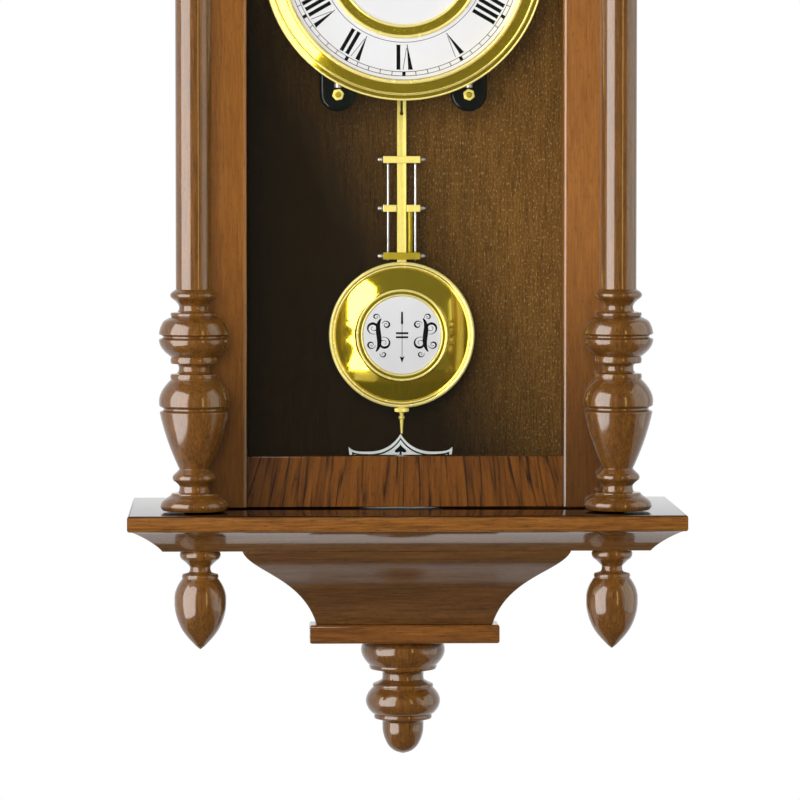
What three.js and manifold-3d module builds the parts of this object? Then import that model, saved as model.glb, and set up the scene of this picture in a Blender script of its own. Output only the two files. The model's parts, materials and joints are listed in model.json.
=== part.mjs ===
// Spring-driven wall clock: turned wooden case with a glazed door, dial, going train and grid pendulum.
// Millimetres. The wall is the plane y = 0, the room lies towards -Y, +Z is up, and the hands turn
// about the Y axis through the origin. A depth is a distance from the wall.
import * as THREE from "three";
import { mergeVertices } from "three/addons/utils/BufferGeometryUtils.js";
import Module from "manifold-3d";

const wasm = await Module();
wasm.setup();

// Clearances
const seat = 0.3; // between pieces that are fastened together
const run = 0.3; // round a piece that turns or slides

// Case
const caseHalfWidth = 145;
const caseDepth = 86.4;
const sideThickness = 12;
const backThickness = 9;
const shelfDrop = 358.7; // hands' axis down to the top of the shelf
const corniceRise = 141; // hands' axis up to the underside of the cornice

// Shelf and cornice boards, each with a cove moulding
const boardOverhang = 35;
const boardDepth = 165;
const boardThickness = 10.5;
const boardEase = 1.8; // radius of its front corners
const coveSetback = 2.7;
const coveReach = 19.5;
const coveHeight = 14.1;

// Corbel, plinth and turned drops below, crest above
const corbelHalfWidth = 106.2;
const corbelDepth = 143;
const corbelHeight = 52.3;
const corbelDrawIn = 48.5;
const corbelBackDepth = 71; // back of the moulded front
const corbelBlockHalfWidth = 44; // plain block between the front and the wall
const plinthOverhang = 4.5;
const plinthHeight = 12.2;
const plinthEase = 1;
const dropInset = 46.5; // end of the shelf to the axis of a drop
const dropDepth = 130.4;
const finialDepth = 60;
const crestHalfWidth = 128;
const crestTopHalfWidth = 26;
const crestHeight = 74;
const crestThickness = 30;
const crestSetback = 4;

// Turnings, from the base of each: rise, radius at its end and, on a bowed part, radius halfway
const columnFootRadius = 20.4;
const columnShaftRadius = 11.7;
const columnTurning = [
  [8.6, 17.4, 21.9], // base disc
  [2.6, 14.8],
  [0.5, 10.5],
  [4.2, 9.7], // neck
  [3.6, 13.6],
  [4.4, 12.6, 14.1], // ring
  [2.9, 9.7],
  [36.4, 22.3, 17.2], // vase
  [2.6, 19.8],
  [2.4, 22.6],
  [16.6, 15, 21.4], // shoulder
  [3.6, 14.9],
  [0.5, 11.2],
  [2.8, 9.9],
  [2.9, 10.9],
  [0.5, 14.8],
  [4.2, 14.8],
  [11.2, 22.7, 20.3], // lower half of the ball
  [1.9, 20],
  [2, 22.7],
  [10.8, 14.6, 20.9], // upper half of the ball
  [2.8, 14.7],
  [0.6, 10.5],
  [3.4, 9.6],
  [4.6, 13.6], // flare
  [5, 13.9, 15.4],
  [1.4, columnShaftRadius],
];
const dropTopRadius = 12.2;
const dropTurning = [
  [5.6, 12.3, 13.3],
  [5, 6.8, 9.2],
  [2.6, 6.9], // neck
  [1.4, 8.1],
  [0.8, 11.4],
  [2.9, 11.6],
  [14.1, 16.8, 15.7], // acorn
  [18.1, 12.5, 15.9],
  [10.3, 4.2, 9],
  [3.6, 0, 2.4],
];
const finialTopRadius = 25;
const finialTurning = [
  [16.9, 23.2, 27.8], // bowl
  [0.8, 22.4],
  [2.7, 21.8],
  [2.6, 13.8, 16],
  [4.4, 14], // neck
  [2.7, 19.7, 16.4],
  [2.4, 19.8],
  [17.1, 20.8, 24.7], // ball
  [0.9, 18.8],
  [2.9, 18.8],
  [2.3, 13.7],
  [4.1, 13.6],
  [10.6, 10.4, 12.7], // button
  [3.9, 6.9, 9],
  [2.7, 0, 4.4],
];
const bowSteps = 2; // straight steps along a bowed part
const turnedSides = 10;
const dropSides = 8;

// Door
const doorGap = 1.3; // to the shelf and the cornice
const hingeGap = 1.6; // between the case and the door
const doorThickness = 20;
const stileWidth = 42;
const stileChamfer = 2;
const bottomRailHeight = 33.1;
const topRailHeight = 33.7;
const railRecess = 3;
const glassThickness = 3;
const glassSetback = 6; // behind the pane
const grooveDepth = 6;
const columnInset = 7.8;
const knuckleRadius = 2.2;
const pinRadius = 1;
const leafThickness = 0.6;
const leafHeight = 48;
const leafReach = 11; // onto the edge of the case
const hingeMargin = 57; // end of the door to the nearer hinge

// Hanger in the back board
const hangerWidth = 44;
const hangerHeight = 40;
const hangerThickness = 2;
const hangerRise = 98; // hands' axis up to its lower edge
const nailHeadRadius = 5;
const nailSlotHalfWidth = 2.6;
const nailSlotLength = 13;
const hangerLip = 7; // back board behind the edge of the plate

// Dial and hands
const dialSetback = 7.9; // behind the front of the case
const dialThickness = 1.5;
const dialRadius = 84;
const dialFootSpot = 34;
const dialFootRadius = 2.5;
const windingHoleRadius = 4;
const bezelRim = 8.4; // outside the dial
const bezelLap = 5.5; // over the dial
const bezelHeight = 7;
const bezelRimThickness = 8;
const bezelSides = 28;
const dialRingOuterRadius = 51.7;
const dialRingInnerRadius = 42.9;
const dialRingHeight = 2;
const handThickness = 0.8;
const handBoss = 3; // round the pipe
const hourHandLength = 48;
const minuteHandLength = 71;
const hourHandTurn = 305; // degrees clockwise from twelve
const minuteHandTurn = 60;

// Movement plates and what carries them
const plateThickness = 2;
const motionSpace = 8.5; // between the front plate and the dial
const plateSpacing = 26;
const plateHalfWidth = 56;
const plateRise = 60;
const plateDrop = 46;
const pillarInset = 6;
const pillarRadius = 3.5;
const pivotRadius = 0.8;
const arborRadius = 1.4;
const bracketSpot = 43; // hands' axis out to the middle of a lobe
const lobeDrop = 87.5;
const lobeRadius = 12;
const lobeThickness = 6;
const bracketDrop = 62; // hands' axis down to the bracket
const armWidth = 12;
const footThickness = 6;
const postRadius = 2.5;
const postTopDrop = 40;
const postBottomDrop = 84;

// Going train: teeth, leaves and modules
const barrelTeeth = 48;
const secondLeaves = 9;
const barrelModule = 1.06;
const secondTeeth = 42;
const centreLeaves = 7;
const secondModule = 0.9;
const centreTeeth = 66;
const thirdLeaves = 6;
const centreModule = 0.6;
const thirdTeeth = 60;
const escapeLeaves = 6;
const thirdModule = 0.55;
const escapeTeeth = 30;
const escapeRadius = 14;
const wheelThickness = 1.4;
const pinionOverlap = 0.6; // pinion past each face of its wheel
const wheelForm = { addendum: 0.9, dedendum: 2.1, tip: 0.18, root: 1 };
const pinionForm = { addendum: 0.7, dedendum: 1.35, tip: 0.16, root: 0.42 };
const barrelDrop = 10; // hands' axis down to the winding arbor
const drumRadius = 20.5;
const windingRadius = 3.2;
const windingSquare = 4.4;
const ratchetTeeth = 20;
const ratchetRadius = 10;
const clickHub = 2.6;

// Motion work behind the dial
const cannonLeaves = 10;
const minuteTeeth = 30;
const cannonModule = 0.72;
const minuteLeaves = 8;
const hourTeeth = 32;
const minuteWheelTurn = -30; // degrees from +X to its stud
const studRadius = 1.2;
const cannonRadius = 2.2;
const cannonBore = 1.3;
const hourPipeRadius = 3.4;
const hourPipeBore = 2.6;

// Escapement and pendulum
const suspensionRise = 49; // flexing point of the spring and axis of the anchor
const palletLift = 1.5; // pallets clear of the tooth circle
const anchorThickness = 1.6;
const crutchDrop = 43;
const crutchThickness = 1.4;
const cockHalfWidth = 6;
const cockHeight = 6;
const springHalfWidth = 3;
const springThickness = 0.4;
const springReach = 7; // above the flexing point
const springDrop = 5; // below it
const springGrip = 3; // held in the cock
const leaderHalfWidth = 2.5;
const leaderThickness = 1.2;
const pendulumClear = 6.4; // back plate to the middle of the rod
const rodWidth = 6.1;
const rodThickness = 1.5;
const rodTopDrop = 82; // hands' axis down to the rod
const rodFlatDrop = 262;
const rodTipDrop = 314;
const threadLap = 4;
const threadRadius = 1.5;
const slotDrop = 86;
const slotHalfWidth = 0.7;
const slotHoleDrop = 14.6;
const slotHoleRadius = 1.35;
const buttonNeckRadius = 0.5;
const buttonHeadRadius = 1.1;
const barDrops = [131.2, 163.6, 195.3];
const barWall = 1.8;
const barHalfLength = 12.4;
const barHeight = 4.6;
const barTipLength = 3.8;
const barTipRadius = 1.9;
const sideRodSpot = 9.1;
const sideRodRadius = 0.85;
const sideRodNub = 0.6;
const innerRodSpot = 5.6;
const innerRodRadius = 1.7;
const bobDrop = 247.8;
const bobRadius = 48.3;
const bobHalfThickness = 5;
const bobSides = 24;
const enamelRadius = 25.2;
const enamelThickness = 1.6;
const bobRingWidth = 7.6;
const bobRimWidth = 5;
const bobRoll = 1.4; // height of its rolled forms
const nutRadius = 4.85;
const nutHeight = 3;

// Beat scale on the back board
const scaleTop = 43.3; // above the shelf
const scaleHalfWidth = 34.9;
const scaleHeight = 40;
const scaleHorn = 8.7; // below the tip
const scaleHornBend = 3;
const scaleDip = 12;
const scaleThickness = 1.2;

// Levels and planes that follow from the sizes above
const shelfTop = -shelfDrop;
const shelfBottom = shelfTop - boardThickness;
const coveBottom = shelfBottom - coveHeight;
const plinthTop = coveBottom - corbelHeight;
const boardHalfWidth = caseHalfWidth + boardOverhang;
const corniceTop = corniceRise + boardThickness + coveHeight;
const doorRearDepth = caseDepth + hingeGap;
const doorFrontDepth = doorRearDepth + doorThickness;
const doorBottom = shelfTop + doorGap;
const doorTop = corniceRise - doorGap;
const openingHalfWidth = caseHalfWidth - stileWidth;
const glassDepth = doorRearDepth + glassSetback;
const hingeAxisX = caseHalfWidth + knuckleRadius + seat;
const hingeAxisDepth = caseDepth + hingeGap / 2;
const dialRearDepth = caseDepth - dialSetback;
const plateFrontDepth = dialRearDepth - motionSpace;
const plateFrontInside = plateFrontDepth - plateThickness;
const plateRearInside = plateFrontInside - plateSpacing;
const plateRearDepth = plateRearInside - plateThickness;
const pendulumDepth = plateRearDepth - pendulumClear;
const dialFrontDepth = dialRearDepth + dialThickness;
const bezelOuterRadius = dialRadius + bezelRim;
const bezelInnerRadius = dialRadius - bezelLap;
const hourHandDepth = dialFrontDepth + dialRingHeight + 2 * run;
const minuteHandDepth = hourHandDepth + handThickness + 2;
const leaderDepth = pendulumDepth - rodThickness / 2 - seat - leaderThickness;
const bracketTop = -bracketDrop;
const rodTop = -rodTopDrop;
const rodFlatEnd = -rodFlatDrop;
const slotTop = -slotDrop;
const leaderBottom = slotTop - 3 * slotHalfWidth;
const cockBottom = suspensionRise + springReach - springGrip;
const barHeights = barDrops.map((drop) => -drop);
const bobHeight = -bobDrop;

// Finishes
function finish(color, roughness, metalness) {
  return new THREE.MeshStandardMaterial({ color, roughness, metalness });
}

const walnut = () => finish(0x6d401f, 0.35, 0);
const brass = () => finish(0xc9a63a, 0.25, 1);
const steel = () => finish(0xb9bcc0, 0.3, 1);
const castIron = () => finish(0x17171a, 0.5, 0.4);
const enamel = () => finish(0xf1efed, 0.3, 0);
const clearGlass = () => finish(0xe6eeec, 0.05, 0);
const blued = () => finish(0x101014, 0.3, 0.6);

const bothSides = [
  [-1, "left"],
  [1, "right"],
];

const clock = new THREE.Group();
clock.name = "wall_clock";

// Adds one piece of the clock as a named mesh.
function piece(name, geometry, material) {
  const mesh = new THREE.Mesh(closed(geometry), material);
  mesh.name = name;
  clock.add(mesh);
}

// Geometry with shared corners and faces turned outwards.
function closed(geometry) {
  const bare = geometry.clone();
  bare.deleteAttribute("normal");
  bare.deleteAttribute("uv");
  const merged = mergeVertices(bare, 1e-4);
  if (volumeOf(merged) < 0) merged.index.array.reverse();
  merged.computeVertexNormals();
  return merged;
}

// Six times the enclosed volume, negative where the faces point inwards.
function volumeOf(geometry) {
  const corners = geometry.attributes.position;
  const index = geometry.index.array;
  const [a, b, c] = [new THREE.Vector3(), new THREE.Vector3(), new THREE.Vector3()];
  let sum = 0;
  for (let i = 0; i < index.length; i += 3) {
    a.fromBufferAttribute(corners, index[i]);
    b.fromBufferAttribute(corners, index[i + 1]);
    c.fromBufferAttribute(corners, index[i + 2]);
    sum += a.dot(b.cross(c));
  }
  return sum;
}

// A geometry as a solid that can be joined and cut.
function solidOf(geometry) {
  const shell = closed(geometry);
  const mesh = new wasm.Mesh({
    numProp: 3,
    vertProperties: shell.attributes.position.array,
    triVerts: new Uint32Array(shell.index.array),
  });
  return new wasm.Manifold(mesh);
}

function geometryOf(solid) {
  const mesh = solid.getMesh();
  const geometry = new THREE.BufferGeometry();
  geometry.setAttribute("position", new THREE.BufferAttribute(mesh.vertProperties, 3));
  geometry.setIndex(new THREE.BufferAttribute(mesh.triVerts, 1));
  return geometry;
}

function join(...geometries) {
  return geometryOf(geometries.map(solidOf).reduce((whole, part) => whole.add(part)));
}

function cut(geometry, ...tools) {
  return geometryOf(tools.map(solidOf).reduce((whole, tool) => whole.subtract(tool), solidOf(geometry)));
}

// Box between two x, two depths and two heights.
function block([x0, x1], [depth0, depth1], [z0, z1]) {
  const box = new THREE.BoxGeometry(x1 - x0, depth1 - depth0, z1 - z0);
  return box.translate((x0 + x1) / 2, -(depth0 + depth1) / 2, (z0 + z1) / 2);
}

const acrossX = new THREE.Vector3(1, 0, 0);
const towardsWall = new THREE.Vector3(0, 1, 0);
const upwards = new THREE.Vector3(0, 0, 1);
const towardsRoom = new THREE.Vector3(0, -1, 0);

function extruded(shape, length, axes, curveSegments) {
  const geometry = new THREE.ExtrudeGeometry(shape, { depth: length, bevelEnabled: false, curveSegments });
  return geometry.applyMatrix4(new THREE.Matrix4().makeBasis(...axes));
}

// Shape seen from the front, thickened from a depth towards the room.
function facing(shape, depth, thickness, curveSegments = 6) {
  return extruded(shape, thickness, [acrossX, upwards, towardsRoom], curveSegments).translate(0, -depth, 0);
}

// Shape seen from above, thickened upwards.
function standing(shape, bottom, height, curveSegments = 4) {
  return extruded(shape, height, [acrossX, towardsWall, upwards], curveSegments).translate(0, 0, bottom);
}

// Shape of y and z, drawn out along x.
function lengthwise(shape, left, length) {
  return extruded(shape, length, [towardsWall, upwards, acrossX], 4).translate(left, 0, 0);
}

const outline = (points) => new THREE.Shape(points.map(([u, v]) => new THREE.Vector2(u, v)));

function circle(u, v, radius) {
  const path = new THREE.Shape();
  path.absarc(u, v, radius, 0, 2 * Math.PI, false);
  return path;
}

function rectangle(u0, u1, v0, v1) {
  return outline([
    [u0, v0],
    [u1, v0],
    [u1, v1],
    [u0, v1],
  ]);
}

// Profile of a turning as radius and height pairs, climbing or, with way -1, hanging down.
function turning(radius, height, parts, way = 1) {
  const profile = [[radius, height]];
  for (const [rise, end, middle] of parts) {
    const [start, base] = profile.at(-1);
    const steps = middle === undefined ? 1 : bowSteps;
    for (let i = 1; i <= steps; i++) {
      const t = i / steps;
      const bow = middle === undefined ? 0 : 4 * middle - 2 * (start + end);
      profile.push([start + (end - start) * t + bow * t * (1 - t), base + way * rise * t]);
    }
  }
  return profile;
}

function lathe(profile, sides) {
  return new THREE.LatheGeometry(
    profile.map(([radius, height]) => new THREE.Vector2(radius, height)),
    sides,
  );
}

// Turned piece on an upright axis, closed to the axis at both ends.
function upright(profile, x, depth, sides = turnedSides) {
  const ends = [[0, profile[0][1]], ...profile, [0, profile.at(-1)[1]]];
  return lathe(ends, sides).rotateX(Math.PI / 2).translate(x, -depth, 0);
}

// Turned piece on an axis square to the wall, from radius and depth pairs.
function arbor(profile, [x, z], sides = 8) {
  const points = profile.map(([radius, depth]) => [radius, -depth]);
  return lathe(points, sides).translate(x, 0, z);
}

function disc(radius, depth0, depth1, spot, sides = 8) {
  return arbor(
    [
      [0, depth0],
      [radius, depth0],
      [radius, depth1],
      [0, depth1],
    ],
    spot,
    sides,
  );
}

// Board with a flat back and a moulded front and ends: setbacks and heights, bottom up.
function moulded(halfWidth, depth, profile, backDepth = 0) {
  const corners = [];
  const index = [];
  for (const [setback, z] of profile) {
    const x = halfWidth - setback;
    const [front, back] = [setback - depth, -backDepth];
    corners.push(-x, back, z, -x, front, z, x, front, z, x, back, z);
  }
  for (let i = 0; i + 1 < profile.length; i++) {
    for (let k = 0; k < 4; k++) {
      const [a, b] = [4 * i + k, 4 * i + ((k + 1) % 4)];
      index.push(a, b, b + 4, a, b + 4, a + 4);
    }
  }
  const top = 4 * (profile.length - 1);
  index.push(0, 2, 1, 0, 3, 2, top, top + 1, top + 2, top, top + 2, top + 3);
  const geometry = new THREE.BufferGeometry();
  geometry.setAttribute("position", new THREE.Float32BufferAttribute(corners, 3));
  geometry.setIndex(index);
  return geometry;
}

// Front edge of a board with both corners rounded, bottom up.
function easedEdge(bottom) {
  const steps = 2;
  const corner = Array.from({ length: steps + 1 }, (_, i) => {
    const angle = (Math.PI / 2) * (i / steps);
    return [boardEase * (1 - Math.sin(angle)), boardEase * (1 - Math.cos(angle))];
  });
  const lower = corner.map(([setback, rise]) => [setback, bottom + rise]);
  const upper = corner.map(([setback, rise]) => [setback, bottom + boardThickness - rise]);
  return [...lower, ...upper.reverse()];
}

// Hollow of a cove, from its wide end at a height to its narrow end.
function cove(wideEnd, way) {
  const curve = new THREE.CubicBezierCurve(
    new THREE.Vector2(0, 0),
    new THREE.Vector2(0.33 * coveReach, 0.2 * coveHeight),
    new THREE.Vector2(0.84 * coveReach, 0.68 * coveHeight),
    new THREE.Vector2(coveReach, coveHeight),
  );
  return curve.getPoints(5).map(({ x, y }) => [coveSetback + x, wideEnd + way * y]);
}

// Ogee front of the corbel, from its wide top to its narrow foot.
function corbelProfile() {
  const curve = new THREE.CubicBezierCurve(
    new THREE.Vector2(0, 0),
    new THREE.Vector2(0.11 * corbelDrawIn, -0.26 * corbelHeight),
    new THREE.Vector2(0.81 * corbelDrawIn, -0.39 * corbelHeight),
    new THREE.Vector2(corbelDrawIn, -corbelHeight),
  );
  return curve.getPoints(8).map(({ x, y }) => [x, coveBottom + y]);
}

function buildCase() {
  const window = [-(hangerWidth / 2 - hangerLip), hangerWidth / 2 - hangerLip];
  const hangerTop = hangerRise + hangerHeight;
  const inside = caseHalfWidth - sideThickness;
  const board = cut(
    block([-inside, inside], [0, backThickness], [shelfTop, corniceRise]),
    block(window, [-1, backThickness + 1], [hangerRise + hangerLip, hangerTop - hangerLip]),
    block(
      [-hangerWidth / 2 - seat, hangerWidth / 2 + seat],
      [-1, hangerThickness],
      [hangerRise - seat, hangerTop + seat],
    ),
  );
  piece("back_board", board, walnut());
  for (const [side, word] of bothSides) {
    const edges = [side * inside, side * caseHalfWidth].sort((a, b) => a - b);
    piece(`side_${word}`, block(edges, [0, caseDepth], [shelfTop, corniceRise]), walnut());
  }
  piece("shelf", moulded(boardHalfWidth, boardDepth, easedEdge(shelfBottom)), walnut());
  piece("base_cove", moulded(boardHalfWidth, boardDepth, cove(shelfBottom, -1).reverse()), walnut());
  const cornice = [...easedEdge(corniceRise), ...cove(corniceRise + boardThickness, 1)];
  piece("cornice", moulded(boardHalfWidth, boardDepth, cornice), walnut());
  buildHanger();
  buildBeatScale();
}

function buildBase() {
  const plinthBottom = plinthTop - plinthHeight;
  const behind = (z0, z1) =>
    block([-corbelBlockHalfWidth, corbelBlockHalfWidth], [0, corbelBackDepth + seat], [z0, z1]);
  const ogee = moulded(corbelHalfWidth, corbelDepth, corbelProfile().reverse(), corbelBackDepth);
  piece("corbel", join(ogee, behind(plinthTop, coveBottom)), walnut());
  const plinthHalfWidth = corbelHalfWidth - corbelDrawIn + plinthOverhang;
  const plinthDepth = corbelDepth - corbelDrawIn + plinthOverhang;
  const edge = [
    [plinthEase, plinthBottom],
    [0, plinthBottom + plinthEase],
    [0, plinthTop - plinthEase],
    [plinthEase, plinthTop],
  ];
  const plinth = moulded(plinthHalfWidth, plinthDepth, edge, corbelBackDepth);
  piece("plinth", join(plinth, behind(plinthBottom, plinthTop)), walnut());
  const finial = turning(finialTopRadius, plinthBottom, finialTurning, -1);
  piece("bottom_finial", upright(finial, 0, finialDepth), walnut());
  const drop = turning(dropTopRadius, coveBottom, dropTurning, -1);
  for (const [side, word] of bothSides) {
    const x = side * (boardHalfWidth - dropInset);
    piece(`drop_${word}`, upright(drop, x, dropDepth, dropSides), walnut());
  }
}

// Shaped board that stands on the cornice, with one turned finial on its top.
function buildCrest() {
  const shape = new THREE.Shape();
  const top = corniceTop + crestHeight;
  const foot = corniceTop + crestHeight / 6;
  const waist = (crestHalfWidth + crestTopHalfWidth) / 2;
  shape.moveTo(-crestHalfWidth, corniceTop);
  shape.lineTo(crestHalfWidth, corniceTop);
  shape.lineTo(crestHalfWidth, foot);
  shape.bezierCurveTo(waist, foot, waist, top, crestTopHalfWidth, top);
  shape.lineTo(-crestTopHalfWidth, top);
  shape.bezierCurveTo(-waist, top, -waist, foot, -crestHalfWidth, foot);
  const front = boardDepth - coveSetback - coveReach - crestSetback;
  piece("crest", facing(shape, front - crestThickness, crestThickness, 10), walnut());
  const finial = turning(dropTopRadius, top, dropTurning);
  piece("crest_finial", upright(finial, 0, front - crestThickness / 2, dropSides), walnut());
}

// Steel plate let into the back, with a keyhole that drops over a nail head.
function buildHanger() {
  const plate = rectangle(-hangerWidth / 2, hangerWidth / 2, hangerRise, hangerRise + hangerHeight);
  const hole = hangerRise + hangerHeight / 2 - nailSlotLength / 2;
  plate.holes.push(keyhole(hole, nailHeadRadius, hole + nailSlotLength, nailSlotHalfWidth));
  piece("hanger_plate", facing(plate, 0, hangerThickness), steel());
}

// Round hole with a slot that climbs from it to a round end.
function keyhole(holeHeight, holeRadius, slotEnd, halfWidth) {
  const path = new THREE.Path();
  const mouth = Math.asin(halfWidth / holeRadius);
  path.absarc(0, slotEnd, halfWidth, 0, Math.PI, false);
  path.absarc(0, holeHeight, holeRadius, Math.PI / 2 + mouth, Math.PI / 2 - mouth + 2 * Math.PI, false);
  path.closePath();
  return path;
}

function buildBeatScale() {
  const tip = shelfTop + scaleTop;
  const horn = tip - scaleHorn;
  const dip = tip - scaleDip;
  const low = tip - scaleHeight;
  const dipSpot = (scaleHalfWidth * 5) / 8;
  const shape = new THREE.Shape();
  shape.moveTo(0, tip);
  shape.quadraticCurveTo(dipSpot / 3, dip, dipSpot, dip);
  shape.quadraticCurveTo(scaleHalfWidth - scaleHornBend, dip, scaleHalfWidth, horn);
  const flank = low + scaleHeight / 3;
  shape.bezierCurveTo(scaleHalfWidth, flank, scaleHalfWidth / 2, low, 0, low);
  shape.bezierCurveTo(-scaleHalfWidth / 2, low, -scaleHalfWidth, flank, -scaleHalfWidth, horn);
  shape.quadraticCurveTo(scaleHornBend - scaleHalfWidth, dip, -dipSpot, dip);
  shape.quadraticCurveTo(-dipSpot / 3, dip, 0, tip);
  piece("beat_scale", facing(shape, backThickness, scaleThickness), steel());
}

function buildDoor() {
  const groove = [glassDepth - run, glassDepth + glassThickness + run];
  for (const [side, word] of bothSides) {
    const stile = outline(
      [
        [caseHalfWidth, doorRearDepth],
        [caseHalfWidth, doorFrontDepth],
        [openingHalfWidth + stileChamfer, doorFrontDepth],
        [openingHalfWidth, doorFrontDepth - stileChamfer],
        [openingHalfWidth, groove[1]],
        [openingHalfWidth + grooveDepth, groove[1]],
        [openingHalfWidth + grooveDepth, groove[0]],
        [openingHalfWidth, groove[0]],
        [openingHalfWidth, doorRearDepth],
      ].map(([x, depth]) => [side * x, -depth]),
    );
    piece(`stile_${word}`, standing(stile, doorBottom, doorTop - doorBottom), walnut());
  }
  const openingBottom = doorBottom + bottomRailHeight;
  const openingTop = doorTop - topRailHeight;
  piece("rail_bottom", rail(doorBottom, openingBottom, groove), walnut());
  piece("rail_top", rail(doorTop, openingTop, groove), walnut());
  const margin = grooveDepth - run;
  const pane = block(
    [-openingHalfWidth - margin, openingHalfWidth + margin],
    [glassDepth, glassDepth + glassThickness],
    [openingBottom - margin, openingTop + margin],
  );
  piece("door_glass", pane, clearGlass());
  buildColumns();
  buildHinge(doorBottom + hingeMargin, "lower");
  buildHinge(doorTop - hingeMargin - leafHeight, "upper");
}

// Rail between the stiles, from its outer edge to the edge with the groove for the glass.
function rail(outer, inner, groove) {
  const front = doorFrontDepth - railRecess;
  const grooveEnd = inner + Math.sign(outer - inner) * grooveDepth;
  const section = [
    [doorRearDepth, outer],
    [front, outer],
    [front, inner],
    [groove[1], inner],
    [groove[1], grooveEnd],
    [groove[0], grooveEnd],
    [groove[0], inner],
    [doorRearDepth, inner],
  ].map(([depth, z]) => [-depth, z]);
  return lengthwise(outline(section), -openingHalfWidth, 2 * openingHalfWidth);
}

// Turned columns, glued to the stiles where they are widest, the same at both ends.
function buildColumns() {
  const foot = turning(columnFootRadius, 0, columnTurning);
  const lower = foot.map(([radius, height]) => [radius, doorBottom + height]);
  const upper = foot.map(([radius, height]) => [radius, doorTop - height]).reverse();
  const widest = Math.max(...foot.map(([radius]) => radius));
  const depth = doorFrontDepth + widest + seat;
  for (const [side, word] of bothSides) {
    const spot = side * (caseHalfWidth - columnInset);
    piece(`column_${word}`, upright([...lower, ...upper], spot, depth), walnut());
  }
}

// Butt hinge in the gap on the right: a case leaf with two knuckles and the pin, and a door leaf.
function buildHinge(bottom, word) {
  const third = leafHeight / 3;
  const inner = caseHalfWidth - leafReach;
  const clear = hingeAxisX - knuckleRadius - run;
  const level = (k) => bottom + k * third;
  const knuckle = (radius, z0, z1) =>
    upright(
      [
        [radius, z0],
        [radius, z1],
      ],
      hingeAxisX,
      hingeAxisDepth,
      8,
    );
  const caseLeaf = outline([
    [inner, level(0)],
    [hingeAxisX, level(0)],
    [hingeAxisX, level(1)],
    [clear, level(1)],
    [clear, level(2)],
    [hingeAxisX, level(2)],
    [hingeAxisX, level(3)],
    [inner, level(3)],
  ]);
  const fixed = join(
    facing(caseLeaf, caseDepth, leafThickness),
    knuckle(knuckleRadius, level(0), level(1)),
    knuckle(knuckleRadius, level(2), level(3)),
    knuckle(pinRadius, level(0), level(3)),
  );
  piece(`hinge_${word}_case_leaf`, fixed, brass());
  const wall = hingeAxisX - (knuckleRadius + pinRadius) / 2;
  const doorLeaf = outline([
    [inner, level(0)],
    [clear, level(0)],
    [clear, level(1) + run],
    [wall, level(1) + run],
    [wall, level(2) - run],
    [clear, level(2) - run],
    [clear, level(3)],
    [inner, level(3)],
  ]);
  const moving = cut(
    join(
      facing(doorLeaf, doorRearDepth - leafThickness, leafThickness),
      knuckle(knuckleRadius, level(1) + run, level(2) - run),
    ),
    knuckle(pinRadius + run, level(1), level(2)),
  );
  piece(`hinge_${word}_door_leaf`, moving, brass());
}

// Black cast bracket on the back board with two arms that end in round lobes, and their posts.
function buildBracket() {
  const lobes = [-1, 1].map((side) => {
    const shape = new THREE.Shape();
    const x = side * bracketSpot;
    shape.absarc(x, -lobeDrop, lobeRadius, Math.PI, 2 * Math.PI, false);
    shape.lineTo(x + lobeRadius, bracketTop);
    shape.lineTo(x - lobeRadius, bracketTop);
    return facing(shape, plateFrontDepth - lobeThickness, lobeThickness, 6);
  });
  const armTop = bracketTop - armWidth / 6;
  const armBottom = armTop - armWidth;
  const arms = [-1, 1].map((side) => {
    const x = [side * bracketSpot - armWidth / 2, side * bracketSpot + armWidth / 2];
    return block(x, [backThickness, plateFrontDepth - lobeThickness / 2], [armBottom, armTop]);
  });
  const reach = bracketSpot + lobeRadius;
  const foot = block([-reach, reach], [backThickness, backThickness + footThickness], [armBottom, armTop]);
  piece("movement_bracket", join(foot, ...arms, ...lobes), castIron());
  const postDepth = plateFrontDepth + postRadius + seat;
  for (const [side, word] of bothSides) {
    const post = [
      [postRadius, -postBottomDrop],
      [postRadius, -postTopDrop],
    ];
    piece(`post_${word}`, upright(post, side * bracketSpot, postDepth, 8), steel());
  }
}

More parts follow.
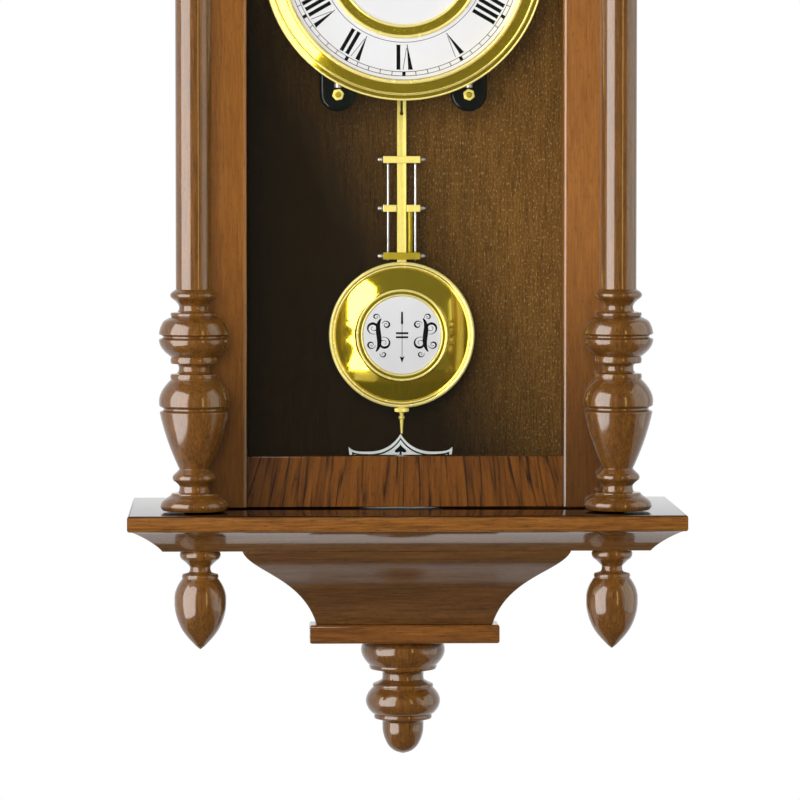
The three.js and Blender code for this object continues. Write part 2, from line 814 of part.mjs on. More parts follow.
// Dial plate on four feet, its bezel and the ring inside the numerals.
function buildDial() {
  const feet = [-1, 1].flatMap((u) =>
    [-1, 1].map((v) => {
      const spot = [u * dialFootSpot, v * dialFootSpot];
      return disc(dialFootRadius, plateFrontDepth, dialRearDepth + dialThickness / 2, spot);
    }),
  );
  const face = cut(
    disc(dialRadius, dialRearDepth, dialFrontDepth, centreSpot, bezelSides),
    disc(hourPipeRadius + 2 * run, dialRearDepth - 1, dialFrontDepth + 1, centreSpot, 12),
    disc(windingHoleRadius, dialRearDepth - 1, dialFrontDepth + 1, barrelSpot, 12),
  );
  piece("dial", join(face, ...feet), enamel());
  const lip = dialFrontDepth + seat;
  const width = bezelOuterRadius - bezelInnerRadius;
  const ribs = [
    [0, 0],
    [0.06, 0.66],
    [0.18, 0.86],
    [0.32, 0.66],
    [0.5, 0.86],
    [0.6, 1],
    [0.7, 0.77],
    [0.9, 0.83],
    [1, 0.6],
  ].map(([across, up]) => [bezelInnerRadius + across * width, lip + up * bezelHeight]);
  const rear = ribs.at(-1)[1] - bezelRimThickness;
  const rim = (dialRadius + seat) / Math.cos(Math.PI / bezelSides);
  const bezel = [...ribs, [bezelOuterRadius, rear], [rim, rear], [rim, lip], ribs[0]];
  piece("bezel", arbor(bezel, centreSpot, bezelSides), brass());
  const top = dialFrontDepth + dialRingHeight;
  const chamfer = dialRingHeight / 2;
  const ring = [
    [dialRingInnerRadius, dialFrontDepth],
    [dialRingInnerRadius, top - chamfer],
    [dialRingInnerRadius + chamfer, top],
    [dialRingOuterRadius - chamfer, top],
    [dialRingOuterRadius, top - chamfer],
    [dialRingOuterRadius, dialFrontDepth],
    [dialRingInnerRadius, dialFrontDepth],
  ];
  piece("dial_ring", arbor(ring, centreSpot, bezelSides), brass());
}

// Hand on a pipe, tapering from its boss to a point and turned clockwise from twelve.
function hand(length, pipeRadius, depth, turn) {
  const boss = pipeRadius + handBoss;
  const shape = new THREE.Shape();
  const half = Math.asin(0.6);
  const waist = boss * 0.6;
  shape.absarc(0, 0, boss, Math.PI / 2 + half, Math.PI / 2 - half + 2 * Math.PI, false);
  shape.lineTo(waist * 0.5, length * 0.6);
  shape.quadraticCurveTo(waist * 1.4, length * 0.76, 0, length);
  shape.quadraticCurveTo(-waist * 1.4, length * 0.76, -waist * 0.5, length * 0.6);
  shape.holes.push(circle(0, 0, pipeRadius + seat));
  return facing(shape, depth, handThickness, 6).rotateY(THREE.MathUtils.degToRad(turn));
}

// Spots of the arbors, x and z, worked out from the gears that mesh between them
const distance = (teeth, leaves, module) => ((teeth + leaves) * module) / 2;
const centreSpot = [0, 0];
const palletSpot = [0, suspensionRise];
const escapeSpot = [0, suspensionRise - escapeRadius * Math.SQRT2];
const thirdSpot = thirdArbor();
const secondSpot = [0, -distance(secondTeeth, centreLeaves, secondModule)];
const barrelSpot = barrelArbor();
const minuteSpot = minuteStud();

function thirdArbor() {
  const toCentre = distance(centreTeeth, thirdLeaves, centreModule);
  const toEscape = distance(thirdTeeth, escapeLeaves, thirdModule);
  const span = escapeSpot[1];
  const z = (toCentre ** 2 - toEscape ** 2 + span ** 2) / (2 * span);
  return [Math.sqrt(toCentre ** 2 - z ** 2), z];
}

function barrelArbor() {
  const toSecond = distance(barrelTeeth, secondLeaves, barrelModule);
  return [-Math.sqrt(toSecond ** 2 - (barrelDrop + secondSpot[1]) ** 2), -barrelDrop];
}

function minuteStud() {
  const reach = distance(minuteTeeth, cannonLeaves, cannonModule);
  const turn = THREE.MathUtils.degToRad(minuteWheelTurn);
  return [reach * Math.cos(turn), reach * Math.sin(turn)];
}

// Toothed disc. A wheel has a tooth, and a pinion a gap, on the line to its mate.
function gear(teeth, module, form, spot, mate, depth, thickness) {
  const pitch = (2 * Math.PI) / teeth;
  const towards = Math.atan2(mate[1] - spot[1], mate[0] - spot[0]);
  const first = form === wheelForm ? towards : towards + pitch / 2;
  const tip = (teeth * module) / 2 + form.addendum * module;
  const root = (teeth * module) / 2 - form.dedendum * module;
  const tooth = [
    [root, -form.root],
    [tip, -form.tip],
    [tip, form.tip],
    ...(form.root < 1 ? [[root, form.root]] : []),
  ];
  const points = [];
  for (let i = 0; i < teeth; i++) {
    for (const [radius, share] of tooth) {
      const angle = first + (i + share / 2) * pitch;
      points.push([spot[0] + radius * Math.cos(angle), spot[1] + radius * Math.sin(angle)]);
    }
  }
  return facing(outline(points), depth, thickness);
}

// Disc of leaning saw teeth, for the escape wheel and the ratchet.
function sawtoothed(teeth, radius, depthOfTooth, lean, spot, depth, thickness) {
  const points = [];
  for (let i = 0; i < teeth; i++) {
    for (const [reach, share] of [
      [radius - depthOfTooth, 0],
      [radius, lean],
    ]) {
      const angle = ((i + share) / teeth) * 2 * Math.PI;
      points.push([spot[0] + reach * Math.cos(angle), spot[1] + reach * Math.sin(angle)]);
    }
  }
  return facing(outline(points), depth, thickness);
}

// Arbor between the plates with a pivot at each end.
function pivoted(spot, radius = arborRadius) {
  const rear = plateRearInside + run;
  const front = plateFrontInside - run;
  const inPlate = plateThickness * 0.75;
  return arbor(
    [
      [0, rear - inPlate],
      [pivotRadius, rear - inPlate],
      [pivotRadius, rear],
      [radius, rear],
      [radius, front],
      [pivotRadius, front],
      [pivotRadius, front + inPlate],
      [0, front + inPlate],
    ],
    spot,
  );
}

// Depths of the wheels, nearest the wall first
const greatWheelDepth = plateRearInside + 2 * pinionOverlap;
const thirdWheelDepth = plateRearInside + plateSpacing * 0.35;
const escapeWheelDepth = plateRearInside + plateSpacing * 0.6;
const secondWheelDepth = plateFrontInside - 2 * pinionOverlap - wheelThickness;
const centreWheelDepth = secondWheelDepth - 2 * pinionOverlap - wheelThickness;
const drumEnd = centreWheelDepth - 2 * pinionOverlap;
const ratchetDepth = plateRearDepth - 2 * run - wheelThickness;

// Pinion in mesh with a wheel at the given depth, a little wider than the wheel.
function pinion(leaves, module, spot, mate, wheelDepth) {
  const thickness = wheelThickness + pinionOverlap;
  return gear(leaves, module, pinionForm, spot, mate, wheelDepth - pinionOverlap / 2, thickness);
}

function wheel(teeth, module, spot, mate, depth) {
  return gear(teeth, module, wheelForm, spot, mate, depth, wheelThickness);
}

function buildTrain() {
  const great = wheel(barrelTeeth, barrelModule, barrelSpot, secondSpot, greatWheelDepth);
  const drum = disc(drumRadius, greatWheelDepth, drumEnd, barrelSpot, 24);
  const bore = disc(windingRadius + run, greatWheelDepth - 1, drumEnd + 1, barrelSpot, 12);
  piece("barrel", cut(join(great, drum), bore), brass());
  const second = join(
    pivoted(secondSpot),
    pinion(secondLeaves, barrelModule, secondSpot, barrelSpot, greatWheelDepth),
    wheel(secondTeeth, secondModule, secondSpot, centreSpot, secondWheelDepth),
  );
  piece("second_wheel", second, brass());
  const third = join(
    pivoted(thirdSpot, pivotRadius),
    pinion(thirdLeaves, centreModule, thirdSpot, centreSpot, centreWheelDepth),
    wheel(thirdTeeth, thirdModule, thirdSpot, escapeSpot, thirdWheelDepth),
  );
  piece("third_wheel", third, brass());
  const escape = join(
    pivoted(escapeSpot, pivotRadius),
    pinion(escapeLeaves, thirdModule, escapeSpot, thirdSpot, thirdWheelDepth),
    sawtoothed(escapeTeeth, escapeRadius, 2.6, 0.75, escapeSpot, escapeWheelDepth, wheelThickness),
  );
  piece("escape_wheel", escape, brass());
  buildCentre();
  buildWinding();
}

// Centre wheel on the arbor that carries the cannon pinion and the minute hand.
function buildCentre() {
  const rear = plateRearInside + run;
  const shoulder = plateFrontDepth + run;
  const stem = cannonBore - run;
  const stemEnd = minuteHandDepth + handThickness + 1;
  const shaft = arbor(
    [
      [0, rear - plateThickness * 0.75],
      [pivotRadius, rear - plateThickness * 0.75],
      [pivotRadius, rear],
      [arborRadius, rear],
      [arborRadius, shoulder],
      [stem, shoulder],
      [stem, stemEnd],
      [0, stemEnd],
    ],
    centreSpot,
  );
  const centre = join(
    shaft,
    pinion(centreLeaves, secondModule, centreSpot, secondSpot, secondWheelDepth),
    wheel(centreTeeth, centreModule, centreSpot, thirdSpot, centreWheelDepth),
  );
  piece("centre_wheel", centre, brass());
}

// Winding arbor with its square and ratchet wheel, and the click beside it.
function buildWinding() {
  const squareStart = plateFrontDepth + run;
  const squareEnd = dialFrontDepth;
  const half = windingSquare / 2;
  const [x, z] = barrelSpot;
  const winder = join(
    disc(windingRadius, ratchetDepth, squareStart, barrelSpot, 12),
    block([x - half, x + half], [squareStart - 1, squareEnd], [z - half, z + half]),
    sawtoothed(ratchetTeeth, ratchetRadius, 1.6, 0.1, barrelSpot, ratchetDepth, wheelThickness),
  );
  piece("winding_arbor", winder, steel());
  const hub = clickSpot();
  const nose = [x + ratchetRadius + run, z];
  const click = join(
    disc(clickHub, ratchetDepth, ratchetDepth + wheelThickness, hub, 12),
    facing(
      outline([
        [hub[0] - clickHub * 0.8, hub[1]],
        [hub[0] + clickHub * 0.8, hub[1]],
        [nose[0] + clickHub, nose[1]],
        nose,
      ]),
      ratchetDepth,
      wheelThickness,
    ),
  );
  const eye = disc(studRadius + run, ratchetDepth - 1, ratchetDepth + wheelThickness + 1, hub);
  piece("click", cut(click, eye), steel());
}

// Stud of the click, below the nose that it holds to the ratchet.
function clickSpot() {
  return [barrelSpot[0] + ratchetRadius + clickHub, barrelSpot[1] - ratchetRadius];
}

function buildPlates() {
  const hole = (spot, radius) => circle(spot[0], spot[1], radius + run);
  const rear = rectangle(-plateHalfWidth, plateHalfWidth, -plateDrop, plateRise);
  const front = rectangle(-plateHalfWidth, plateHalfWidth, -plateDrop, plateRise);
  for (const spot of [secondSpot, thirdSpot, escapeSpot]) {
    rear.holes.push(hole(spot, pivotRadius));
    front.holes.push(hole(spot, pivotRadius));
  }
  rear.holes.push(hole(centreSpot, pivotRadius), hole(palletSpot, arborRadius));
  front.holes.push(hole(centreSpot, arborRadius), hole(palletSpot, pivotRadius));
  rear.holes.push(hole(barrelSpot, windingRadius));
  front.holes.push(hole(barrelSpot, windingRadius));
  const pillarX = plateHalfWidth - pillarInset;
  const pillars = [pillarInset - plateDrop, plateRise - pillarInset].flatMap((z) =>
    [-pillarX, pillarX].map((x) => disc(pillarRadius, plateRearInside - 1, plateFrontInside, [x, z])),
  );
  const clickStud = disc(studRadius, ratchetDepth, plateRearDepth + 1, clickSpot());
  const rearPlate = join(facing(rear, plateRearDepth, plateThickness, 4), ...pillars, clickStud);
  piece("plate_back", rearPlate, brass());
  const studEnd = minutePinionDepth + minutePinionLength + run;
  const stud = disc(studRadius, plateFrontDepth - 1, studEnd, minuteSpot);
  piece("plate_front", join(facing(front, plateFrontInside, plateThickness, 4), stud), brass());
}

// Depths of the motion work, from the front plate towards the dial
const minuteWheelDepth = plateFrontDepth + 2 * pinionOverlap;
const minutePinionDepth = minuteWheelDepth + wheelThickness;
const hourWheelDepth = minutePinionDepth + 2 * pinionOverlap;
const minutePinionLength = hourWheelDepth + wheelThickness + pinionOverlap - minutePinionDepth;

function buildMotionWork() {
  const cannonStart = plateFrontDepth + 2 * run;
  const cannonLength = wheelThickness + pinionOverlap;
  const leaves = gear(
    cannonLeaves,
    cannonModule,
    pinionForm,
    centreSpot,
    minuteSpot,
    cannonStart,
    cannonLength,
  );
  const cannonEnd = minuteHandDepth + handThickness;
  const cannon = join(leaves, disc(cannonRadius, cannonStart, cannonEnd, centreSpot, 12));
  const cannonHole = disc(cannonBore, cannonStart - 1, cannonEnd + 1, centreSpot, 12);
  piece("cannon_pinion", cut(cannon, cannonHole), brass());
  const hourModule = ((cannonLeaves + minuteTeeth) * cannonModule) / (minuteLeaves + hourTeeth);
  const minute = join(
    wheel(minuteTeeth, cannonModule, minuteSpot, centreSpot, minuteWheelDepth),
    gear(
      minuteLeaves,
      hourModule,
      pinionForm,
      minuteSpot,
      centreSpot,
      minutePinionDepth - run,
      minutePinionLength,
    ),
  );
  const studHole = disc(studRadius + run, plateFrontDepth, dialRearDepth, minuteSpot);
  piece("minute_wheel", cut(minute, studHole), brass());
  const hourEnd = hourHandDepth + handThickness;
  const hour = join(
    wheel(hourTeeth, hourModule, centreSpot, minuteSpot, hourWheelDepth),
    disc(hourPipeRadius, hourWheelDepth, hourEnd, centreSpot, 12),
  );
  const hourHole = disc(hourPipeBore, hourWheelDepth - 1, hourEnd + 1, centreSpot, 12);
  piece("hour_wheel", cut(hour, hourHole), brass());
  const hourHand = hand(hourHandLength, hourPipeRadius, hourHandDepth, hourHandTurn);
  piece("hour_hand", hourHand, blued());
  const minuteHand = hand(minuteHandLength, cannonRadius, minuteHandDepth, minuteHandTurn);
  piece("minute_hand", minuteHand, blued());
}

// Anchor on its arbor, with the crutch behind the back plate that reaches down to the leader.
function buildAnchor() {
  const reach = (escapeRadius + palletLift) * Math.SQRT1_2;
  const tip = [reach, escapeSpot[1] + reach];
  const arm = anchorArm(tip);
  const mirrored = arm.slice(1, -1).map(([x, z]) => [-x, z]).reverse();
  const anchor = facing(outline([...arm, ...mirrored]), escapeWheelDepth - run / 2, anchorThickness);
  const front = plateFrontInside - run;
  const crutchDepth = plateRearDepth - 2 * run - crutchThickness;
  const shaft = arbor(
    [
      [0, crutchDepth],
      [arborRadius, crutchDepth],
      [arborRadius, front],
      [pivotRadius, front],
      [pivotRadius, front + plateThickness * 0.75],
      [0, front + plateThickness * 0.75],
    ],
    palletSpot,
  );
  const low = suspensionRise - crutchDrop;
  const inner = leaderHalfWidth + run;
  const prong = 1.5;
  const foot = [low - prong, low + prong];
  const crutch = [
    block([-prong, prong], [crutchDepth, crutchDepth + crutchThickness], [low, suspensionRise]),
    block([-inner - prong, inner + prong], [crutchDepth, crutchDepth + crutchThickness], foot),
    block([inner, inner + prong], [leaderDepth - prong, crutchDepth + 1], foot),
    block([-inner - prong, -inner], [leaderDepth - prong, crutchDepth + 1], foot),
  ];
  piece("anchor", join(anchor, shaft, ...crutch), steel());
}

// Right half of the anchor's outline, from its top over the pallet and back to its underside.
function anchorArm([x, z]) {
  const top = suspensionRise + 2.5 * arborRadius;
  const under = suspensionRise - 1.8 * arborRadius;
  return [
    [0, top],
    [x * 0.6, top - 3],
    [x + 2.5, z + 2],
    [x + 2, z - 0.6],
    [x, z],
    [x - 1.2, z + 3],
    [x * 0.4, under],
    [0, under],
  ];
}

function buildSuspension() {
  const middle = leaderDepth + leaderThickness / 2;
  const springTop = suspensionRise + springReach;
  const slit = springThickness / 2 + 2 * run + 0.1;
  const cock = cut(
    block(
      [-cockHalfWidth, cockHalfWidth],
      [middle - springHalfWidth - 2, plateRearDepth],
      [cockBottom, cockBottom + cockHeight],
    ),
    block(
      [-slit, slit],
      [middle - springHalfWidth - run, middle + springHalfWidth + run],
      [cockBottom - 1, springTop + run],
    ),
  );
  piece("suspension_cock", cock, brass());
  const leaderTop = suspensionRise - springDrop;
  const strip = block(
    [-springThickness / 2, springThickness / 2],
    [middle - springHalfWidth, middle + springHalfWidth],
    [leaderTop, springTop],
  );
  piece("suspension_spring", strip, steel());
  const headDepth = pendulumDepth + rodThickness / 2 + seat;
  const leader = join(
    block(
      [-leaderHalfWidth, leaderHalfWidth],
      [leaderDepth, leaderDepth + leaderThickness],
      [leaderBottom, leaderTop],
    ),
    disc(buttonNeckRadius, leaderDepth + 0.5, headDepth + 0.5, [0, slotTop]),
    disc(buttonHeadRadius, headDepth, headDepth + 1, [0, slotTop]),
  );
  piece("pendulum_leader", leader, brass());
}

function buildPendulum() {
  const flat = rectangle(-rodWidth / 2, rodWidth / 2, rodFlatEnd, rodTop);
  flat.holes.push(keyhole(slotTop - slotHoleDrop, slotHoleRadius, slotTop, slotHalfWidth));
  const thread = upright(
    [
      [threadRadius, -rodTipDrop],
      [threadRadius, rodFlatEnd + threadLap],
    ],
    0,
    pendulumDepth,
    8,
  );
  const rod = join(facing(flat, pendulumDepth - rodThickness / 2, rodThickness, 4), thread);
  piece("pendulum_rod", rod, brass());
  barHeights.forEach((z, i) => piece(`crossbar_${i + 1}`, crossbar(z, i === 1), brass()));
  const rodBottom = barHeights[2] - barHeight / 2 - sideRodNub;
  for (const [side, word] of bothSides) {
    const profile = [
      [sideRodRadius, rodBottom],
      [sideRodRadius, barHeights[0] + barHeight / 2],
    ];
    piece(`side_rod_${word}`, upright(profile, side * sideRodSpot, pendulumDepth, 8), steel());
  }
  const inner = [
    [innerRodRadius, barHeights[2] + barHeight / 2],
    [innerRodRadius, barHeights[1] - barHeight / 2],
  ];
  piece("inner_rod", upright(inner, innerRodSpot, pendulumDepth, 8), brass());
  buildBob();
}

// Crossbar with a notch for the flat rod, open at the back, or at the front on the middle bar.
function crossbar(height, rodInFront) {
  const way = rodInFront ? -1 : 1;
  const edge = pendulumDepth + way * (rodThickness / 2 + seat + barWall);
  const open = pendulumDepth - way * (sideRodRadius + 1);
  const notch = pendulumDepth + way * (rodThickness / 2 + seat);
  const half = rodWidth / 2 + seat;
  const section = outline(
    [
      [-barHalfLength, edge],
      [barHalfLength, edge],
      [barHalfLength, open],
      [half, open],
      [half, notch],
      [-half, notch],
      [-half, open],
      [-barHalfLength, open],
    ].map(([x, depth]) => [x, -depth]),
  );
  for (const side of [-1, 1]) {
    section.holes.push(circle(side * sideRodSpot, -pendulumDepth, sideRodRadius + seat));
  }
  const tips = [-1, 1].map((side) =>
    lathe(
      [
        [0, -1],
        [barTipRadius / 2, -1],
        [barTipRadius / 2, barTipLength / 4],
        [barTipRadius, barTipLength / 2],
        [0, barTipLength],
      ],
      6,
    )
      .rotateZ((-side * Math.PI) / 2)
      .translate(side * barHalfLength, -pendulumDepth, height),
  );
  return join(standing(section, height - barHeight / 2, barHeight), ...tips);
}

// Bob with a rolled rim, a raised ring round the enamel disc and a slot for the rod, and its nut.
function buildBob() {
  const spot = [0, bobHeight];
  const front = pendulumDepth + bobHalfThickness;
  const back = pendulumDepth - bobHalfThickness;
  const recess = enamelRadius + seat;
  const ringEnd = enamelRadius + bobRingWidth;
  const rim = bobRadius - bobRimWidth;
  const floor = front - 0.3 * bobRoll;
  const profile = [
    [0, floor],
    [recess, floor],
    [recess, front + 1.4 * bobRoll],
    [(recess + ringEnd) / 2, front + 2 * bobRoll],
    [ringEnd, front + bobRoll],
    [ringEnd + 0.4 * bobRoll, front],
    [rim - 0.6 * bobRoll, floor],
    [rim, front - bobRoll],
    [rim + 0.25 * bobRimWidth, front],
    [rim + 0.65 * bobRimWidth, floor],
    [bobRadius, front - 1.7 * bobRoll],
    [bobRadius, pendulumDepth - 0.4 * bobRoll],
    [rim, back + 0.7 * bobRoll],
    [ringEnd, back - 0.9 * bobRoll],
    [0, back - 1.4 * bobRoll],
  ];
  const slotHalf = threadRadius + run;
  const slot = block(
    [-rodWidth / 2 - run, rodWidth / 2 + run],
    [pendulumDepth - slotHalf, pendulumDepth + slotHalf],
    [bobHeight - bobRadius - 1, bobHeight + bobRadius + 1],
  );
  piece("bob", cut(arbor(profile, spot, bobSides), slot), brass());
  const dome = [
    [0, floor],
    [enamelRadius, floor],
    [enamelRadius, floor + enamelThickness * 0.6],
    [enamelRadius / 2, floor + enamelThickness * 0.9],
    [0, floor + enamelThickness],
  ];
  piece("bob_enamel", arbor(dome, spot, bobSides), enamel());
  const nutTop = bobHeight - bobRadius - run;
  const nut = [
    [threadRadius + run, nutTop - nutHeight],
    [nutRadius, nutTop - nutHeight],
    [nutRadius, nutTop],
    [threadRadius + run, nutTop],
    [threadRadius + run, nutTop - nutHeight],
  ];
  piece("rating_nut", lathe(nut, 12).rotateX(Math.PI / 2).translate(0, -pendulumDepth, 0), brass());
}

buildCase();
buildBase();
buildCrest();
buildDoor();
buildBracket();
buildPlates();
buildDial();
buildTrain();
buildMotionWork();
buildAnchor();
buildSuspension();
buildPendulum();

export default clock;
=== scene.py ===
"""Wall clock in a lacquered walnut case: turned columns, glazed door, dial, movement and grid pendulum."""

import json
import logging
import math
from collections.abc import Sequence
from dataclasses import dataclass
from enum import Enum

import bpy
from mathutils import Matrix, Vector

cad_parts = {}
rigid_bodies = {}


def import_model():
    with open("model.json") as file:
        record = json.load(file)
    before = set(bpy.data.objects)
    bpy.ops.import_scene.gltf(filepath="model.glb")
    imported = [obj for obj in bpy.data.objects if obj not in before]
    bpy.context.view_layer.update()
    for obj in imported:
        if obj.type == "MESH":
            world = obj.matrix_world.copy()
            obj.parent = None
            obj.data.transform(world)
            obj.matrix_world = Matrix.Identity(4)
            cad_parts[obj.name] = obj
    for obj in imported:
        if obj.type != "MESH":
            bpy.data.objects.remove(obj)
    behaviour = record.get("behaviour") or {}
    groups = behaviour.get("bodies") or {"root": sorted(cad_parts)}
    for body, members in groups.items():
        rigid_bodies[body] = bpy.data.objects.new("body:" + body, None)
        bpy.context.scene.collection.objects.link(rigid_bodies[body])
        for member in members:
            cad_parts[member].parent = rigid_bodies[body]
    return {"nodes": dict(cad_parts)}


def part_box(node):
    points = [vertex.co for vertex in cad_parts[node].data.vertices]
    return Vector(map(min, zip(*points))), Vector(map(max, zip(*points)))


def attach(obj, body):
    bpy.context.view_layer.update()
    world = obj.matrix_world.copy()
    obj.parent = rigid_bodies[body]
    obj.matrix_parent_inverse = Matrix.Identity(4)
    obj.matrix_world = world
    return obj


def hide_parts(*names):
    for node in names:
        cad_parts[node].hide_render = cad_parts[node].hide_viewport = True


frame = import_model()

MM = 0.001
INK_MM = 0.04  # thickness of print
ROUND_STEPS = 160  # sides of the large spun rings
SMOOTH = 35.0  # degrees below which an edge is shaded smooth
ORIGIN = Vector((0, 0, 0))
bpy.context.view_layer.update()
log = logging.getLogger("wall_clock")

Pair = tuple[float, float]
Turned = tuple[tuple[float, ...], ...]
Piece = bpy.types.Object
Material = bpy.types.Material
Tree = bpy.types.NodeTree
Socket = bpy.types.NodeSocket


class Grain(Enum):
    """Way that the fibres of a board run."""

    UP = "up"
    ACROSS = "across"


class Lathe(Enum):
    """Axis that a turned piece is spun about."""

    UPRIGHT = (0.0, 0.0, 1.0)
    FACING = (0.0, 1.0, 0.0)
    SIDEWAYS = (1.0, 0.0, 0.0)


def linear(colour: str) -> tuple[float, float, float, float]:
    """Turns an sRGB hex colour to linear.

    Args:
        colour: Six hex digits.

    Returns:
        Linear red, green, blue and full alpha.
    """
    parts = [int(colour[i : i + 2], 16) / 255 for i in (0, 2, 4)]
    red, green, blue = (p / 12.92 if p <= 0.04045 else ((p + 0.055) / 1.055) ** 2.4 for p in parts)
    return red, green, blue, 1.0


def add_node(
    tree: Tree,
    kind: str,
    values: dict[str | int, object] | None = None,
    links: dict[str | int, Socket] | None = None,
    stops: Sequence[tuple[float, str]] = (),
    **settings: object,
) -> bpy.types.Node:
    """Adds one shader node with its settings and links.

    Args:
        tree: Node tree that gets the node.
        kind: Blender's type name of the node.
        values: Constants for the node's inputs, by name or index.
        links: Sockets that feed the node's inputs, by name or index.
        stops: Places and hex colours of a colour ramp.
        settings: The node's own properties.

    Returns:
        The new node.
    """
    node = tree.nodes.new(kind)
    for key, value in settings.items():
        setattr(node, key, value)
    for key, value in (values or {}).items():
        node.inputs[key].default_value = value
    for key, socket in (links or {}).items():
        tree.links.new(socket, node.inputs[key])
    if stops:
        elements = node.color_ramp.elements
        while len(elements) < len(stops):
            elements.new(1.0)
        for element, (place, colour) in zip(elements, stops):
            element.position = place
            element.color = linear(colour)
    return node


def new_material(name: str) -> tuple[Material, Tree]:
    """Makes an empty node material.

    Args:
        name: Name of the real material.

    Returns:
        The material and its node tree.
    """
    material = bpy.data.materials.new(name)
    material.use_nodes = True
    material.node_tree.nodes.clear()
    return material, material.node_tree


@dataclass(frozen=True)
class Walnut:
    """Stained walnut under polished lacquer: brown fibres and dark pores below a clear, sharp gloss."""

    name: str
    grain: Grain
    light: str
    middle: str
    dark: str
    streak_mm: float = 6.0
    streaks: float = 0.35
    pores: float = 0.5
    figure: float = 0.0
    # Painted glints: light specks in the pores.
    painted_glints: float = 0.0
    coat: float = 1.0
    coat_roughness: float = 0.03
    coat_ior: float = 1.5
    sheen: float = 0.05
    lean: float = 0.0
    lean_level_mm: float = -341.0
    # Painted shade: way, dark and light ends in millimetres, and the darkest tint.
    painted_shade: tuple[tuple[float, float, float], float, float, str] | None = None

    def place(self, tree: Tree) -> Socket:
        """Adds the place on the board, drawn in towards the top on a leaning figure.

        Args:
            tree: Node tree of the material.

        Returns:
            The place, in metres.
        """
        place = add_node(tree, "ShaderNodeTexCoord").outputs["Object"]
        if not self.lean:
            return place
        parts = add_node(tree, "ShaderNodeSeparateXYZ", links={0: place}).outputs
        widen = add_node(
            tree,
            "ShaderNodeMath",
            {1: self.lean, 2: 1 - self.lean * self.lean_level_mm * MM},
            {0: parts["Z"]},
            operation="MULTIPLY_ADD",
        ).outputs[0]
        x = add_node(tree, "ShaderNodeMath", links={0: parts["X"], 1: widen}, operation="MULTIPLY").outputs[0]
        links = {"X": x, "Y": parts["Y"], "Z": parts["Z"]}
        return add_node(tree, "ShaderNodeCombineXYZ", links=links).outputs[0]

    def paint_shade(self, tree: Tree, colour: Socket) -> Socket:
        """Paints shade on the wood, darker towards one end of the board.

        Args:
            tree: Node tree of the material.
            colour: Colour of the wood.

        Returns:
            The colour with its painted shade.
        """
        way, dark_mm, light_mm, darkest = self.painted_shade
        place = add_node(tree, "ShaderNodeTexCoord").outputs["Object"]
        along = add_node(
            tree, "ShaderNodeVectorMath", {1: way}, {0: place}, operation="DOT_PRODUCT"
        ).outputs["Value"]
        share = add_node(
            tree,
            "ShaderNodeMapRange",
            {"From Min": dark_mm * MM, "From Max": light_mm * MM},
            {"Value": along},
            interpolation_type="SMOOTHSTEP",
        ).outputs["Result"]
        tint = add_node(
            tree, "ShaderNodeMix", {6: linear(darkest), 7: linear("ffffff")}, {0: share}, data_type="RGBA"
        ).outputs[2]
        return add_node(
            tree, "ShaderNodeMix", {0: 1.0}, {6: colour, 7: tint}, data_type="RGBA", blend_type="MULTIPLY"
        ).outputs[2]

    def noise(self, tree: Tree, width_mm: float, stretch: float, detail: float) -> Socket:
        """Adds noise that is drawn out along the fibres.

        Args:
            tree: Node tree of the material.
            width_mm: Size across the fibres.
            stretch: Length along the fibres for one of width.
            detail: Octaves of the noise.

        Returns:
            The noise, from 0 to 1.
        """
        place = self.place(tree)
        scale = (1.0, 1.0, 1 / stretch) if self.grain is Grain.UP else (1 / stretch, 1.0, 1.0)
        drawn = add_node(tree, "ShaderNodeMapping", {"Scale": scale}, {"Vector": place}).outputs["Vector"]
        values = {"Scale": 1 / (width_mm * MM), "Detail": detail, "Roughness": 0.6}
        return add_node(tree, "ShaderNodeTexNoise", values, {"Vector": drawn}).outputs["Fac"]

    def growth(self, tree: Tree) -> Socket:
        """Adds wandering dark growth lines, a few millimetres apart and broken here and there.

        Args:
            tree: Node tree of the material.

        Returns:
            Darkness of the lines, from 0 to 1.
        """
        rings = self.noise(tree, 13.0, 12.0, 2.0)
        many = add_node(tree, "ShaderNodeMath", {1: 6.0}, {0: rings}, operation="MULTIPLY").outputs[0]
        away = add_node(tree, "ShaderNodeMath", {1: 0.5}, {0: many}, operation="PINGPONG").outputs[0]
        line = add_node(
            tree,
            "ShaderNodeMapRange",
            {"From Min": 0.03, "From Max": 0.25, "To Min": self.figure, "To Max": 0.0},
            {"Value": away},
        ).outputs["Result"]
        ragged = add_node(
            tree,
            "ShaderNodeMapRange",
            {"From Min": 0.38, "From Max": 0.62, "To Min": 0.25},
            {"Value": self.noise(tree, 1.8, 24.0, 3.0)},
        ).outputs["Result"]
        return add_node(tree, "ShaderNodeMath", links={0: line, 1: ragged}, operation="MULTIPLY").outputs[0]

    def material(self) -> Material:
        """Builds the wood's nodes.

        Returns:
            The finished material.
        """
        material, tree = new_material(self.name)
        # Broad figure, wandering slowly along the board.
        broad = self.noise(tree, self.streak_mm, 14.0, 3.0)
        # Fibres about 1 mm wide and 20 mm long.
        fibres = self.noise(tree, 1.1, 18.0, 3.0)
        tone = add_node(
            tree, "ShaderNodeMix", {0: self.streaks}, {2: fibres, 3: broad}, data_type="FLOAT"
        ).outputs[0]
        base = add_node(
            tree,
            "ShaderNodeValToRGB",
            links={"Fac": tone},
            stops=((0.3, self.dark), (0.5, self.middle), (0.7, self.light)),
        ).outputs["Color"]
        # Open pores: dark dashes under 1 mm wide and about 5 mm long.
        pores = add_node(
            tree,
            "ShaderNodeMapRange",
            {"From Min": 0.57, "From Max": 0.68, "To Min": 0.0, "To Max": self.pores},
            {"Value": self.noise(tree, 0.75, 7.0, 2.0)},
        ).outputs["Result"]
        layers = [("1c0f07", pores)]
        if self.figure:
            layers.append(("1a0e07", self.growth(tree)))
        if self.painted_glints:
